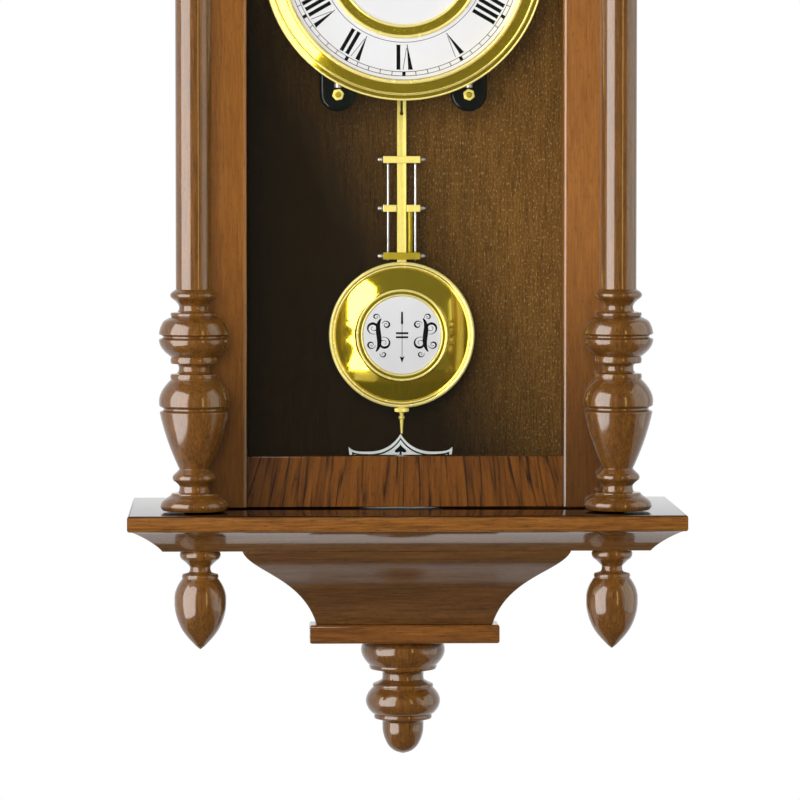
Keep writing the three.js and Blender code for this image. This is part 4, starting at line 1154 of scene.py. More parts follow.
@dataclass
class Door:
    """Glazed door: stiles, rails, pane, turned columns and hinges."""

    finishes: Finishes
    edge: tuple[Pair, ...] = ((2.6, 0.0), (1.5, 0.24), (0.6, 0.8), (0.0, 2.0))
    foot_radius: float = 20.4
    column_parts: Turned = (
        (8.6, 17.4, 21.9), (2.6, 14.8, 15.4), (0.5, 10.5), (4.2, 9.7, 9.7), (3.6, 13.6, 11.2),
        (4.4, 12.6, 14.1), (2.9, 9.7, 11.0), (36.4, 22.3, 17.2), (1.3, 21.4, 22.2), (0.6, 19.9),
        (1.2, 19.9), (0.6, 21.3), (1.3, 22.6, 22.3), (16.6, 15.0, 21.4), (3.6, 14.9, 15.4),
        (0.5, 11.2), (2.8, 9.9, 10.2), (2.9, 10.9, 10.0), (0.5, 14.8), (4.2, 14.8, 15.3),
        (11.2, 22.7, 20.8), (0.9, 21.7, 22.4), (0.5, 20.2), (1.1, 20.2), (0.5, 21.6),
        (0.9, 22.7, 22.4), (7.5, 20.2, 21.9), (3.3, 14.6, 18.2), (2.8, 14.7, 15.2), (0.6, 10.5),
        (3.4, 9.6, 9.7), (4.6, 13.6, 10.9), (5.0, 13.9, 15.4), (1.4, 11.7),
    )

    def build(self) -> None:
        """Builds and dresses the door."""
        for side, word in ((-1, "left"), (1, "right")):
            self.stile(side, word)
        for word in ("bottom", "top"):
            low, _, high = middle(f"rail_{word}")
            rail = soften(block(f"rail_{word}_board", low, high), 0.5)
            fit(rail, "door", self.finishes.figured, "walnut", f"rail_{word}")
        self.columns()
        dress(self.finishes.glass, "door_glass")
        leaves = [f"hinge_{place}_{leaf}_leaf" for place in ("upper", "lower") for leaf in ("case", "door")]
        dress(self.finishes.plate_brass, *leaves)

    def stile(self, side: int, word: str) -> None:
        """Planes one stile.

        Args:
            side: -1 is left and 1 right.
            word: The side's name.
        """
        low, _, high = middle(f"stile_{word}")
        inner, outer = (low.x, high.x) if side > 0 else (high.x, low.x)
        rounded = ((inner + side * reach, low.y + drop) for reach, drop in self.edge)
        section = ((outer, high.y), (outer, low.y), *rounded, (inner, high.y))
        stile = soften(prism(f"stile_{word}_board", section, low.z, high.z), 0.2, 2, 60)
        fit(stile, "door", self.finishes.upright, "walnut", f"stile_{word}")

    def columns(self) -> None:
        """Turns the two columns, alike at both ends."""
        foot = turning(self.foot_radius, self.column_parts)
        for word in ("left", "right"):
            low, centre, high = middle(f"column_{word}")
            length = high.z - low.z
            profile = [*foot, *((r, length - h) for r, h in foot[::-1])]
            base = at(centre.x, centre.y, low.z)
            column = soften(turn(f"column_{word}_turning", profile, Lathe.UPRIGHT, base), 0.15)
            fit(column, "door", self.finishes.turned, "walnut", f"column_{word}")


@dataclass
class Dial:
    """Dial plate with its bezel, ring, printed figures and hands."""

    finishes: Finishes
    bezel_width: float = 13.9
    bezel_rebate: float = 7.7
    bezel_gap: float = 0.3
    ring_width: float = 8.8
    track_radii: Pair = (73.6, 76.3)
    figure_radii: Pair = (55.9, 72.2)
    circle_radius: float = 54.3
    circle_width: float = 0.4
    thick_stroke: float = 2.5
    thin_stroke: float = 0.4

    def build(self) -> None:
        """Builds and dresses the dial."""
        self.bezel()
        self.ring()
        dress(self.finishes.enamel, "dial")
        self.track()
        self.figures()
        dress(self.finishes.blued, "hour_hand", "minute_hand")
        self.hand_nut()

    @property
    def face(self) -> float:
        """Distance of the dial's face from the wall, in millimetres."""
        return -middle("dial")[0].y

    def bezel(self) -> None:
        """Spins the ribbed bezel."""
        low, _, high = middle("bezel")
        outer, rear, front = high.x, -high.y, -low.y
        inner, rebate = outer - self.bezel_width, outer - self.bezel_rebate
        lip = self.face + self.bezel_gap
        profile = [
            (inner, lip),
            (inner + 0.3, front - 2.0),
            *arc((inner + 1.95, front - 1.2), 1.2, 200, 10, 10),
            (inner + 3.2, front - 1.9),
            (inner + 3.5, front - 1.4),
            (inner + 8.9, front - 3.1),
            (inner + 9.1, front - 3.8),
            *arc((inner + 9.85, front - 2.9), 0.7, 210, -30, 10),
            (inner + 10.6, front - 3.9),
            (inner + 10.8, front - 3.4),
            (inner + 12.7, front - 4.0),
            *arc((inner + 13.3, front - 4.2), 0.6, 150, 0, 6),
            (outer, rear),
            (rebate, rear),
            (rebate, lip),
            (inner, lip),
        ]
        bezel = turn("bezel_ring", profile, Lathe.FACING, ORIGIN, ROUND_STEPS, 40)
        fit(bezel, "case", self.finishes.brass, "brass", "bezel")
        sections = (
            (inner + 1.9, front - 1.25, 1.3),
            (inner + 9.85, front - 2.95, 0.75),
            (outer - 0.62, front - 4.25, 0.66),
        )
        # Pale beads: a painted highlight along the bezel's edges.
        fit(beads("bezel_beads", sections, ORIGIN), "case", self.finishes.painted_highlight_edge, "brass")

    def ring(self) -> None:
        """Spins the brass ring inside the figures."""
        low, _, high = middle("dial_ring")
        outer, rear, front = high.x, -high.y, -low.y
        inner = outer - self.ring_width
        profile = [
            (inner, rear),
            *arc((inner + 0.8, front - 0.8), 0.8, 180, 10, 8),
            (inner + 1.7, front - 1.1),
            (outer - 2.0, front - 1.4),
            *arc((outer - 1.0, front - 1.0), 1.0, 170, 0, 8),
            (outer, rear),
            (inner, rear),
        ]
        ring = turn("dial_ring_rolled", profile, Lathe.FACING, ORIGIN, 128, 40)
        fit(ring, "case", self.finishes.brass, "brass", "dial_ring")
        sections = ((inner + 0.85, front - 0.85, 0.9), (outer - 1.05, front - 1.05, 1.1))
        # Pale beads: a painted highlight along the ring's edges.
        fit(beads("dial_ring_beads", sections, ORIGIN), "case", self.finishes.painted_highlight_edge, "brass")

    def circle(self, name: str, radius: float) -> Piece:
        """Draws one printed circle.

        Args:
            name: Name of the piece.
            radius: Middle radius of the line.

        Returns:
            The circle.
        """
        inner, outer = radius - self.circle_width / 2, radius + self.circle_width / 2
        low, high = self.face, self.face + INK_MM
        section = [(inner, low), (inner, high), (outer, high), (outer, low), (inner, low)]
        return turn(name, section, Lathe.FACING, ORIGIN, ROUND_STEPS)

    def marks(self, name: str, count: int, width: float) -> Piece:
        """Draws marks evenly round the track.

        Args:
            name: Name of the piece.
            count: Number of marks.
            width: Width of one mark.

        Returns:
            All the marks as one piece.
        """
        inner, outer = self.track_radii
        piece = plate(name, [rectangle(-width / 2, inner, width / 2, outer)], self.face, INK_MM)
        pick(piece)
        bpy.ops.object.mode_set(mode="EDIT")
        bpy.ops.mesh.select_all(action="SELECT")
        bpy.ops.mesh.spin(
            steps=count, dupli=True, angle=2 * math.pi, center=(0, 0, 0), axis=Lathe.FACING.value
        )
        return settle(piece)

    def track(self) -> None:
        """Prints the minute track and the circle inside the figures."""
        lines = [self.circle(f"track_{radius}", radius) for radius in self.track_radii]
        lines.append(self.marks("minute_marks", 60, 0.5))
        lines.append(self.circle("inner_circle", self.circle_radius))
        fit(fuse("minute_track", lines), "case", self.finishes.fine_ink, "blued_steel")
        blocks = self.marks("five_minute_marks", 12, 2.2)
        fit(blocks, "case", self.finishes.ink, "blued_steel")

    def figures(self) -> None:
        """Prints the twelve Roman figures with their feet towards the centre."""
        words = ("I", "II", "III", "IIII", "V", "VI", "VII", "VIII", "IX", "X", "XI", "XII")
        outlines = []
        for hour, word in enumerate(words, 1):
            angle = math.radians(90 - 30 * hour)
            cos, sin = math.cos(angle), math.sin(angle)
            for stroke in self.figure(word):
                outlines.append([(z * cos + x * sin, z * sin - x * cos) for x, z in stroke])
        figures = plate("roman_figures", outlines, self.face, INK_MM)
        fit(figures, "case", self.finishes.ink, "blued_steel")

    def figure(self, word: str) -> list[list[Pair]]:
        """Draws the strokes of one figure.

        Args:
            word: The figure, in letters I, V and X.

        Returns:
            Outlines of its strokes, x across and z out from the centre.
        """
        foot, top = self.figure_radii
        spans = {"I": 4.2, "V": 7.2, "X": 7.6}
        widths = [spans[letter] for letter in word]
        left = -sum(widths) / 2
        thick, thin = self.thick_stroke / 2, self.thin_stroke / 2
        strokes = []
        for letter, width in zip(word, widths):
            mid = left + width / 2
            reach = width / 2 - thick - 0.1
            if letter == "I":
                strokes.append(self.stroke((mid, foot), (mid, top), thick, thick))
            elif letter == "V":
                strokes.append(self.stroke((mid, foot), (mid - reach, top), thin, 1.15 * thick))
                strokes.append(self.stroke((mid + 0.4, foot + 2), (mid + reach + 0.4, top), thin, thin))
            else:
                strokes.append(self.stroke((mid + reach, foot), (mid - reach, top), thick, thick))
                strokes.append(self.stroke((mid - reach, foot), (mid + reach, top), thin, thin))
            left += width
        return strokes

    @staticmethod
    def stroke(foot: Pair, top: Pair, foot_half: float, top_half: float) -> list[Pair]:
        """Draws one straight stroke with level, slightly flared ends.

        Args:
            foot: Middle of its foot.
            top: Middle of its top.
            foot_half: Half of its width at the foot.
            top_half: Half of its width at the top.

        Returns:
            The stroke's outline.
        """
        (x0, z0), (x1, z1) = foot, top
        flare, rise = 0.2 * top_half, 0.9
        lean = rise * (x1 - x0) / (z1 - z0)
        return [
            (x0 - foot_half - flare, z0),
            (x0 + foot_half + flare, z0),
            (x0 + foot_half + lean, z0 + rise),
            (x1 + top_half - lean, z1 - rise),
            (x1 + top_half + flare, z1),
            (x1 - top_half - flare, z1),
            (x1 - top_half - lean, z1 - rise),
            (x0 - foot_half + lean, z0 + rise),
        ]

    def hand_nut(self) -> None:
        """Turns the collet that holds the minute hand."""
        front = -middle("minute_hand")[0].y
        rim = arc((2.5, front + 0.5), 0.6, 0, 90, 4)
        profile = [
            (1.25, front), (3.1, front), (3.1, front + 0.5), *rim, (1.25, front + 1.1), (1.25, front)
        ]
        nut = turn("hand_collet", profile, Lathe.FACING, ORIGIN, 32)
        fit(nut, "minute_arbor", self.finishes.brass, "brass")


@dataclass
class Movement:
    """Going train between its plates, and the bracket and posts that carry it."""

    finishes: Finishes
    lobe_radius: float = 12.0
    lobe_thickness: float = 6.0
    arm_half_width: float = 6.0
    nut_across: float = 7.0
    post_ease: float = 0.6

    def build(self) -> None:
        """Builds and dresses the movement."""
        dress(
            self.finishes.plate_brass,
            *("plate_back", "plate_front", "suspension_cock", "barrel", "second_wheel", "third_wheel"),
            *("escape_wheel", "centre_wheel", "cannon_pinion", "minute_wheel", "hour_wheel"),
        )
        dress(self.finishes.steel, "winding_arbor", "click", "anchor", "suspension_spring")
        self.bracket()
        self.posts()

    def bracket(self) -> None:
        """Casts the black bracket and adds its nuts."""
        low, _, high = middle("movement_bracket")
        front, back, radius, thickness = -low.y, -high.y, self.lobe_radius, self.lobe_thickness
        arm_low, arm_high, half = high.z - 14, high.z - 2, self.arm_half_width
        spot, centre = high.x - radius, low.z + radius
        pieces = []
        for side in (-1, 1):
            x = side * spot
            bowl = arc((x, centre), radius, 180, 360, 24)
            outline = [*bowl, (x + radius, high.z), (x - radius, high.z)]
            lobe = plate(f"lobe_{side}", [outline], front - thickness, thickness)
            pieces.append(soften(lobe, 2.2, 4, 50))
            arm = block(f"arm_{side}", (x - half, 3 - front, arm_low), (x + half, -back, arm_high))
            pieces.append(soften(arm, 1.0))
        foot = block("foot", (-high.x, -back - 6, arm_low), (high.x, -back, arm_high))
        pieces.append(soften(foot, 1.5))
        fit(fuse("bracket_casting", pieces), "case", self.finishes.iron, "cast_iron", "movement_bracket")
        self.nut("left", -spot, centre - 1, front, 12)
        self.nut("right", spot, centre - 1, front, 40)

    def nut(self, word: str, x: float, z: float, depth: float, turned: float) -> None:
        """Adds one hexagon nut with the end of its stud.

        Args:
            word: Side of the bracket.
            x: Place across the bracket.
            z: Height.
            depth: Distance of its seat from the wall.
            turned: Angle of its first corner in degrees.
        """
        outline = arc((x, z), self.nut_across / math.sqrt(3), turned, turned + 300, 5)
        hexagon = soften(plate(f"bracket_nut_{word}", [outline], depth, 3.0), 0.5, 3)
        profile = [(0.0, 0.0), (1.9, 0.0), (1.9, 4.2), (1.3, 4.8), (0.0, 4.8)]
        stud = turn(f"stud_{word}", profile, Lathe.FACING, at(x, -depth, z), 24)
        fit(hexagon, "case", self.finishes.satin_brass, "brass")
        fit(stud, "case", self.finishes.dull_brass, "brass")

    def posts(self) -> None:
        """Turns the steel posts with rounded ends."""
        for word in ("left", "right"):
            low, centre, high = middle(f"post_{word}")
            ease, length = self.post_ease, high.z - low.z
            edge = (high.y - low.y) / 2 - ease
            foot, top = arc((edge, ease), ease, 270, 360, 4), arc((edge, length - ease), ease, 0, 90, 4)
            profile = [(0.0, 0.0), *foot, *top, (0.0, length)]
            spot = at(centre.x, centre.y, low.z)
            post = turn(f"post_{word}_rod", profile, Lathe.UPRIGHT, spot, 32)
            fit(post, "case", self.finishes.steel, "steel", f"post_{word}")


@dataclass
class Pendulum:
    """Grid pendulum with its bob, enamel centre and rating nut."""

    finishes: Finishes
    rod_width: float = 6.1
    rod_thickness: float = 1.5
    gap: float = 0.3
    slot_half_width: float = 0.8
    slot_top: float = -86.0
    slot_hole: Pair = (-100.6, 1.25)
    flat_end: float = 52.0
    point_length: float = 18.0
    thread_length: float = 30.0
    thread_pitch: float = 0.8
    thread_radius: float = 1.5
    bar_half_width: float = 12.4
    rim_swell: float = 0.2
    enamel_swell: float = 0.8
    enamel_seat: float = 6.4
    enamel_rise: float = 8.2
    scroll_scale: Pair = (1.1, 1.05)
    knurls: int = 36

    def build(self) -> None:
        """Builds and dresses the pendulum."""
        self.rod()
        self.leader()
        for number in (1, 2, 3):
            self.crossbar(number)
        self.rods()
        self.bob()
        self.enamel()
        self.ornament()
        self.rating_nut()

    @property
    def depth(self) -> float:
        """Distance of the rod's middle from the wall, in millimetres."""
        return -middle("pendulum_rod")[1].y

    @property
    def clear(self) -> float:
        """Distance from the rod's middle that clears its face, in millimetres."""
        return self.rod_thickness / 2 + self.gap

    def rod(self) -> None:
        """Cuts the flat rod with its keyhole slot and threaded end."""
        low, _, high = middle("pendulum_rod")
        half, radius, pitch = self.rod_width / 2, self.thread_radius, self.thread_pitch
        outline = rectangle(-half, low.z + self.flat_end, half, high.z)
        flat = plate("rod_flat", [outline], self.depth - self.rod_thickness / 2, self.rod_thickness)
        hole = keyhole((self.slot_top, self.slot_half_width), self.slot_hole, (8, 20))
        carve(flat, plate("keyhole", [hole], self.depth - 3, 6))
        soften(flat, 0.12, 2)
        ridges = []
        for i in range(int(self.thread_length / pitch)):
            ridges += [(radius - 0.22, i * pitch), (radius, (i + 0.5) * pitch)]
        top = ridges[-1][1] + 6
        stem = [
            (0.0, -self.point_length),
            (0.7, -17.6),
            (1.0, -12.0),
            (1.3, -8.6),
            *arc((0.9, -7.0), 1.25, -70, 70, 6),
            (1.2, -5.2),
            (1.2, 0.0),
            *ridges,
            (radius, top),
            (0.0, top),
        ]
        foot = at(0, -self.depth, low.z + self.point_length)
        thread = turn("rod_thread", stem, Lathe.UPRIGHT, foot, 24, 20)
        rod = fuse("pendulum_stick", [flat, thread])
        fit(rod, "pendulum", self.finishes.satin_brass, "brass", "pendulum_rod")

    def leader(self) -> None:
        """Cuts the leader and its button."""
        low, _, high = middle("pendulum_leader")
        rear, front = -high.y, self.depth + self.clear
        strip = block("leader_strip", (low.x, -rear - 1.2, low.z), (high.x, -rear, high.z))
        profile = [
            (0.0, rear), (0.5, rear), (0.5, front), (1.1, front), (1.1, front + 0.6), (0.0, front + 1.0)
        ]
        button = turn("leader_button", profile, Lathe.FACING, at(0, 0, self.slot_top), 24)
        leader = fuse("pendulum_leader_strip", [soften(strip, 0.15), button])
        fit(leader, "pendulum", self.finishes.plate_brass, "brass", "pendulum_leader")

    def crossbar(self, number: int) -> None:
        """Cuts one crossbar with its turned tips.

        Args:
            number: Count from the top. The second passes behind the rod.
        """
        node = f"crossbar_{number}"
        low, centre, high = middle(node)
        half, notch_half = self.bar_half_width, self.rod_width / 2 + self.gap
        way, edge, lug = (1, high.y, low.y) if number == 2 else (-1, low.y, high.y)
        notch = way * self.clear - self.depth
        right = ((half, edge), (half, lug), (notch_half, lug), (notch_half, notch))
        outline = right + tuple((-x, y) for x, y in right[::-1])
        bar = soften(prism(f"grid_bar_{number}", outline, low.z, high.z), 0.35)
        # The lowest bar takes the darker dull brass as painted shade, darker than the two bars above it.
        finish = self.finishes.dull_brass if number == 3 else self.finishes.satin_brass
        fit(bar, "pendulum", finish, "brass", node)
        tips = [self.tip(number, side, centre.z) for side in (-1, 1)]
        fit(fuse(f"grid_bar_{number}_tips", tips), "pendulum", self.finishes.steel, "steel")

    def tip(self, number: int, side: int, height: float) -> Piece:
        """Turns one tip: a ball on the left, a point on the right.

        Args:
            number: Crossbar that carries it.
            side: -1 is left and 1 right.
            height: Height of its axis.

        Returns:
            The tip.
        """
        profile = [(0.0, -0.5), (0.8, -0.5), (0.8, 0.6), (1.5, 0.8), (1.5, 1.3), (0.9, 1.5)]
        if side < 0:
            profile += [(max(0.0, r), p) for r, p in arc((0.0, 2.5), 1.3, -45, 90, 8)[1:]]
        else:
            profile += [(1.2, 1.9), (0.9, 2.7), (0.4, 3.5), (0.0, 3.8)]
        place = at(side * self.bar_half_width, -self.depth, height)
        return turn(f"tip_{number}_{side}", [(r, side * p) for r, p in profile], Lathe.SIDEWAYS, place, 20)

    def rods(self) -> None:
        """Turns the steel side rods and the brass inner rod."""
        for node, finish, slot in (
            ("side_rod_left", self.finishes.steel, "steel"),
            ("side_rod_right", self.finishes.steel, "steel"),
            ("inner_rod", self.finishes.dull_brass, "brass"),
        ):
            low, centre, high = middle(node)
            radius, length = (high.x - low.x) / 2, high.z - low.z
            foot = [(0.0, 0.0), (radius - 0.2, 0.0), (radius, 0.3)]
            profile = [*foot, *((r, length - h) for r, h in foot[::-1])]
            rod = turn(f"{node}_wire", profile, Lathe.UPRIGHT, at(centre.x, -self.depth, low.z), 20)
            fit(rod, "pendulum", finish, slot, node)

    def bob(self) -> None:
        """Spins the bob: rolled rim, dished band and raised ring."""
        low, centre, high = middle("bob")
        radius, base = high.x + self.rim_swell, self.depth
        section = [
            (0.0, self.enamel_seat),
            (26.1, self.enamel_seat),
            (26.1, 8.4),
            (27.2, 8.9),
            (28.6, 8.9),
            (30.5, 8.3),
            *bezier((30.9, 8.0), (35.3, 6.4), (39.8, 4.5), (44.1, 2.5)),
            (44.5, 2.3),
            (45.9, 3.0),
            (46.5, 2.5),
            *arc((radius - 1.5, 1.9), 1.5, 130, -60, 10),
            (radius - 1.4, -1.0),
            (44.0, -4.2),
            (30.0, -6.2),
            (0.0, -6.9),
        ]
        spot = at(0, -base, centre.z)
        bob = turn("bob_spinning", section, Lathe.FACING, spot, ROUND_STEPS, 40)
        slot = block("bob_slot", (-3.35, -base - 1.8, low.z - 1), (3.35, -base + 1.8, high.z + 1))
        fit(carve(bob, slot), "bob", self.finishes.brass, "brass", "bob")
        wires = ((26.75, 8.6, 0.65), (29.75, 8.6, 0.8), (45.3, 2.9, 0.6), (radius - 1.2, 2.3, 1.3))
        # Pale beads: a painted highlight along the bob's rims.
        fit(beads("bob_beads", wires, spot), "bob", self.finishes.painted_highlight_edge, "brass")

    def enamel(self) -> None:
        """Fires the flat enamel disc with its rounded edge."""
        _, centre, high = middle("bob_enamel")
        radius, rear, front = high.x + self.enamel_swell, self.enamel_seat, self.enamel_rise
        rim = arc((radius - 0.5, front - 0.5), 0.5, 0, 90, 5)
        profile = [(0.0, rear), (radius, rear), *rim, (0.0, front)]
        disc = turn("bob_enamel_disc", profile, Lathe.FACING, at(0, -self.depth, centre.z), 96)
        fit(disc, "bob", self.finishes.enamel, "dial_enamel", "bob_enamel")

    def ornament(self) -> None:
        """Paints the needle, its equal marks and a pair of mirrored scrolls on the enamel."""
        z = middle("bob_enamel")[1].z
        wide, tall = self.scroll_scale
        shapes = [
            rectangle(-0.2, z - 14.5, 0.2, z + 8),
            [(-0.75, z + 7.5), (0.75, z + 7.5), (0.6, z + 15.6), (-0.6, z + 15.6)],
            [(0.0, z - 18.4), (1.7, z - 14.0), (0.0, z - 14.8), (-1.7, z - 14.0)],
            rectangle(-4.1, z + 0.7, 4.1, z + 2.0),
            rectangle(-4.1, z - 2.0, 4.1, z - 0.7),
        ]
        for side in (-1, 1):
            shapes += [[(side * wide * x, z + tall * up) for x, up in line] for line in self.scrolls()]
        motif = plate("bob_scrolls", shapes, self.depth + self.enamel_rise, INK_MM)
        fit(motif, "bob", self.finishes.ink, "blued_steel")

    @staticmethod
    def scrolls() -> list[list[Pair]]:
        """Draws the scrolls of one side.

        Returns:
            Outlines of the scrolls, x out from the middle and z up.
        """
        stem = bezier((12.6, 10.6), (17.6, 4.6), (10.6, -3.8), (15.8, -10.4), 18)
        lines = [ribbon(stem, [0.6 + 2.4 * math.sin(math.pi * i / 18) ** 0.7 for i in range(19)])]
        steps = 30
        for x, z, size, turns, first, hand, weight in (
            (10.9, -5.0, 4.0, 1.5, 70.0, 1, 1.3),
            (17.4, 4.6, 4.0, 1.5, 250.0, 1, 1.3),
            (9.6, 6.6, 2.6, 1.4, 20.0, 1, 0.8),
            (18.6, -6.0, 2.7, 1.4, 190.0, 1, 0.8),
            (15.6, 11.6, 2.1, 1.3, 200.0, -1, 0.6),
            (11.4, -12.0, 2.1, 1.3, 20.0, -1, 0.6),
        ):
            path, widths = [], []
            for t in (i / steps for i in range(steps + 1)):
                angle = math.radians(first + hand * 360 * turns * t)
                reach = size * (1 - 0.8 * t)
                path.append((x + reach * math.cos(angle), z + reach * math.sin(angle)))
                widths.append(0.3 + weight * math.sin(math.pi * min(1.0, 1.4 * t)) ** 2)
            lines.append(ribbon(path, widths))
        return lines

    def rating_nut(self) -> None:
        """Cuts the knurled rating nut."""
        low, _, high = middle("rating_nut")
        bore, height, ease = self.thread_radius + self.gap, high.z - low.z, 0.4
        rim = []
        for i in range(2 * self.knurls):
            angle = math.pi * i / self.knurls
            reach = high.x - (0.3 if i % 2 else 0.0)
            rim.append((reach * math.cos(angle), reach * math.sin(angle) - self.depth))
        rim_piece = prism("nut_rim", rim, low.z + ease, high.z - ease, 20)
        spot = at(0, -self.depth, low.z)
        boss = turn(
            "nut_boss", [(0.0, 0.0), (3.4, 0.0), (3.4, height), (0.0, height)], Lathe.UPRIGHT, spot, 32
        )
        nut = fuse("rating_nut_knurled", [rim_piece, boss])
        hole = turn(
            "nut_bore", [(0.0, -1.0), (bore, -1.0), (bore, 6.0), (0.0, 6.0)], Lathe.UPRIGHT, spot, 24
        )
        fit(carve(nut, hole), "rating_nut", self.finishes.satin_brass, "brass", "rating_nut")


@dataclass
class BeatScale:
    """Silvered shield on the back board that the pendulum's point swings over."""

    finishes: Finishes
    border: float = 1.6
    border_width: float = 0.9
    mark_pitch: float = 3.6

    def build(self) -> None:
        """Builds and dresses the scale."""
        low, _, high = middle("beat_scale")
        rear, front = -high.y, -low.y
        shield = plate("beat_scale_shield", [self.outline(0.0)], rear, front - rear)
        fit(soften(shield, 0.2), "case", self.finishes.scale, "steel", "beat_scale")
        edge = plate("beat_scale_border", [self.outline(self.border)], front, INK_MM)
        inner = plate("inner", [self.outline(self.border + self.border_width)], front - 1, 3)
        border = carve(edge, inner)
        marks = [self.motif(high.z - 14.5)]
        for i in range(-6, 7):
            x = self.mark_pitch * i
            foot = high.z - 23.5 + 0.012 * x * x
            marks.append(rectangle(x - 0.2, foot, x + 0.2, foot + (2.0 if i % 3 else 3.2)))
        ink = plate("beat_scale_marks", marks, front, INK_MM)
        fit(fuse("beat_scale_print", [border, ink]), "case", self.finishes.ink, "blued_steel")

    @staticmethod
    def outline(inset: float) -> list[Pair]:
        """Draws the shield.

        Args:
            inset: Distance inside the plate's edge.

        Returns:
            The shield's outline.
        """
        low, _, high = middle("beat_scale")
        tip, foot, half = high.z - 1.6 * inset, low.z + inset, high.x - 1.3 * inset
        dip, horn = high.z - 12 - inset, high.z - 8.7 - 2.0 * inset
        spot = half * 5 / 8
        flank = foot + (high.z - low.z) / 3
        right = bezier((0, tip), (spot * 0.22, dip + 4), (spot * 0.55, dip), (spot, dip), 12)
        right += bezier((spot, dip), (half - 5, dip), (half - 2, dip + 0.6), (half, horn), 8)[1:]
        right += bezier((half, horn), (half, flank), (half / 2, foot), (0, foot), 16)[1:]
        return mirrored(right)

    @staticmethod
    def motif(height: float) -> list[Pair]:
        """Draws the small spade over the scale.

        Args:
            height: Height of its foot.

        Returns:
            The spade's outline.
        """
        right = bezier((0, 7.5), (1.0, 5.2), (3.6, 4.4), (4.0, 2.8), 8)
        right += bezier((4.0, 2.8), (3.6, 1.6), (1.6, 1.8), (0.6, 2.6), 6)[1:]
        return [(x, height + z) for x, z in mirrored([*right, (0.9, 0.0), (0.0, 0.0)])]


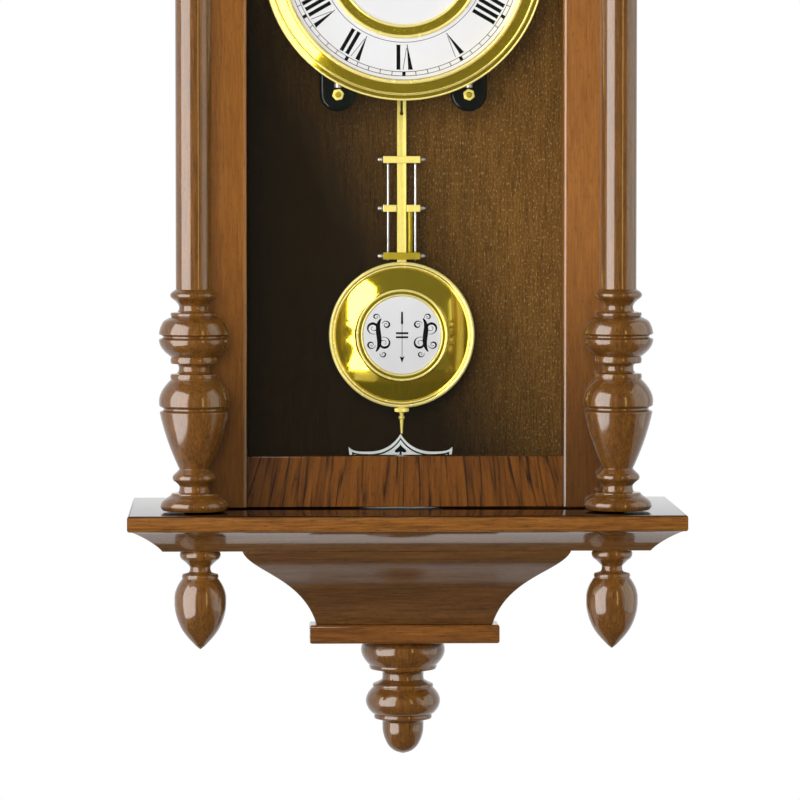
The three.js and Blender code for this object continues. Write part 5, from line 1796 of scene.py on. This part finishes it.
@dataclass
class Studio:
    """Camera, lamps and the pale room round the clock. Places are in metres."""

    eye: tuple[float, float, float] = (-0.1026, -3.2917, -0.1163)
    turned_right: float = 1.784
    turned_down: float = 3.074
    lens: float = 220.3
    target: tuple[float, float, float] = (0.0, -0.1, -0.25)
    floor_size: float = 9.0
    floor_place: tuple[float, float, float] = (0.0, 0.3, -1.3)
    floor_near: float = 0.4
    floor_far: float = 3.6
    floor_white: float = 0.75
    soft_light: float = 0.1

    def build(self) -> None:
        """Sets up the studio."""
        self.camera()
        self.world()
        self.floor()
        self.cards()
        self.lamps()
        bpy.context.scene.view_settings.view_transform = "Standard"

    def camera(self) -> None:
        """Puts the camera where the photograph was taken from."""
        deselect()
        bpy.ops.object.camera_add(location=self.eye)
        camera = bpy.context.object
        camera.name = "photograph_camera"
        camera.rotation_euler = (math.radians(90 - self.turned_down), 0, math.radians(-self.turned_right))
        camera.data.lens = self.lens
        camera.data.sensor_width = 36.0
        camera.data.clip_end = 100.0
        bpy.context.scene.camera = camera

    def world(self) -> None:
        """Makes a white room for the eye and for reflections, and soft light for the rest."""
        world = bpy.data.worlds.new("pale_studio")
        bpy.context.scene.world = world
        world.use_nodes = True
        tree = world.node_tree
        tree.nodes.clear()
        seen = self.seen(tree, "Is Camera Ray", "Is Glossy Ray", "Is Transmission Ray")
        strength = add_node(
            tree, "ShaderNodeMapRange", {"To Min": self.soft_light, "To Max": 1.0}, {"Value": seen}
        ).outputs["Result"]
        background = add_node(
            tree, "ShaderNodeBackground", {"Color": linear("ffffff")}, {"Strength": strength}
        ).outputs["Background"]
        add_node(tree, "ShaderNodeOutputWorld", links={"Surface": background})

    @staticmethod
    def seen(tree: Tree, *kinds: str) -> Socket:
        """Tells what is looked at from what only lights the clock.

        Args:
            tree: Node tree that needs to know.
            kinds: Outputs of the light path that look.

        Returns:
            1 for what is looked at and 0 for light.
        """
        rays = add_node(tree, "ShaderNodeLightPath").outputs
        seen = rays[kinds[0]]
        for kind in kinds[1:]:
            links = {0: seen, 1: rays[kind]}
            seen = add_node(tree, "ShaderNodeMath", links=links, operation="MAXIMUM").outputs[0]
        return seen

    def aim(self, piece: Piece, place: Sequence[float], face: str) -> None:
        """Turns one side of a card or lamp towards the clock.

        Args:
            piece: The card or lamp.
            place: Its middle.
            face: Axis of its face.
        """
        piece.location = place
        piece.rotation_euler = (Vector(self.target) - Vector(place)).to_track_quat(face, "Y").to_euler()

    def floor(self) -> None:
        """Lays a plain pale floor that the polish doesn't mirror."""
        deselect()
        bpy.ops.mesh.primitive_plane_add(size=self.floor_size, location=self.floor_place)
        floor = bpy.context.object
        floor.name = "studio_floor"
        # Pale paint that the eye sees whiten with distance, so that the floor has no edge.
        material, tree = new_material("pale_floor_paint")
        paint = add_node(tree, "ShaderNodeBsdfDiffuse", {"Color": linear("d8d8d6")}).outputs[0]
        white = add_node(tree, "ShaderNodeEmission", {"Strength": 1.0}).outputs[0]
        place = add_node(tree, "ShaderNodeTexCoord").outputs["Object"]
        away = add_node(tree, "ShaderNodeVectorMath", links={0: place}, operation="LENGTH").outputs["Value"]
        paler = add_node(
            tree,
            "ShaderNodeMapRange",
            {"From Min": self.floor_near, "From Max": self.floor_far, "To Min": self.floor_white},
            {"Value": away},
            interpolation_type="SMOOTHSTEP",
        ).outputs["Result"]
        seen = self.seen(tree, "Is Camera Ray", "Is Transmission Ray")
        share = add_node(tree, "ShaderNodeMath", links={0: seen, 1: paler}, operation="MULTIPLY").outputs[0]
        mixed = add_node(tree, "ShaderNodeMixShader", links={0: share, 1: paint, 2: white}).outputs[0]
        add_node(tree, "ShaderNodeOutputMaterial", links={"Surface": mixed})
        floor.data.materials.append(material)
        floor.visible_glossy = False

    def cards(self) -> None:
        """Stands what only the polish mirrors: a softbox, a warm strip, a grey wall and a dim room."""
        for name, place, size, colour, brightness in (
            ("softbox_left", (-0.94, -0.78, -0.18), (1.25, 1.87), "fffefb", 8.0),
            ("warm_strip", (0.72, -1.64, -0.1), (0.12, 1.2), "ffdc92", 8.0),
            ("grey_wall_right", (1.6, -0.35, 0.1), (1.7, 2.4), "eef2e6", 2.4),
            ("dim_front", (0.5, -4.6, -0.6), (7.0, 7.4), "fffdf2", 0.12),
            ("dim_ceiling", (0.0, -1.2, 1.8), (4.4, 4.4), "fffdf2", 0.1),
            ("dim_floor", (0.0, -0.76, -1.35), (3.4, 2.8), "fff6e6", 0.1),
        ):
            deselect()
            bpy.ops.mesh.primitive_plane_add(size=1.0)
            card = bpy.context.object
            card.name = name
            bpy.ops.object.mode_set(mode="EDIT")
            bpy.ops.transform.resize(value=(*size, 1.0))
            bpy.ops.object.mode_set(mode="OBJECT")
            self.aim(card, place, "Z")
            material, tree = new_material(f"{name}_paper")
            glow = {"Color": linear(colour), "Strength": brightness}
            shader = add_node(tree, "ShaderNodeEmission", glow).outputs[0]
            add_node(tree, "ShaderNodeOutputMaterial", links={"Surface": shader})
            card.data.materials.append(material)
            card.visible_camera = card.visible_diffuse = card.visible_shadow = False

    def lamps(self) -> None:
        """Hangs lamps that the polish doesn't mirror: key on the left, broad front, weak right and back."""
        for name, place, (width, height), radiance in (
            ("key_lamp", (-0.98, -0.72, 0.05), (1.1, 1.6), 2.2),
            ("front_lamp", (-0.22, -1.9, 0.05), (0.8, 0.8), 16.6),
            ("right_lamp", (1.5, -0.5, 0.1), (1.2, 1.4), 1.3),
            ("back_lamp", (0.0, 1.9, 0.1), (1.0, 1.0), 9.0),
        ):
            deselect()
            bpy.ops.object.light_add(type="AREA", location=place)
            lamp = bpy.context.object
            lamp.name = name
            lamp.data.shape = "RECTANGLE"
            lamp.data.size, lamp.data.size_y = width, height
            lamp.data.energy = radiance * math.pi * width * height
            self.aim(lamp, place, "-Z")
            lamp.visible_camera = lamp.visible_glossy = False


def main() -> None:
    """Builds the clock, then the studio."""
    logging.basicConfig(level=logging.INFO, format="%(name)s: %(message)s")
    finishes = Finishes()
    for group in (Joinery, Door, Dial, Movement, Pendulum, BeatScale):
        group(finishes).build()
    Studio().build()


if __name__ == "__main__":
    main()
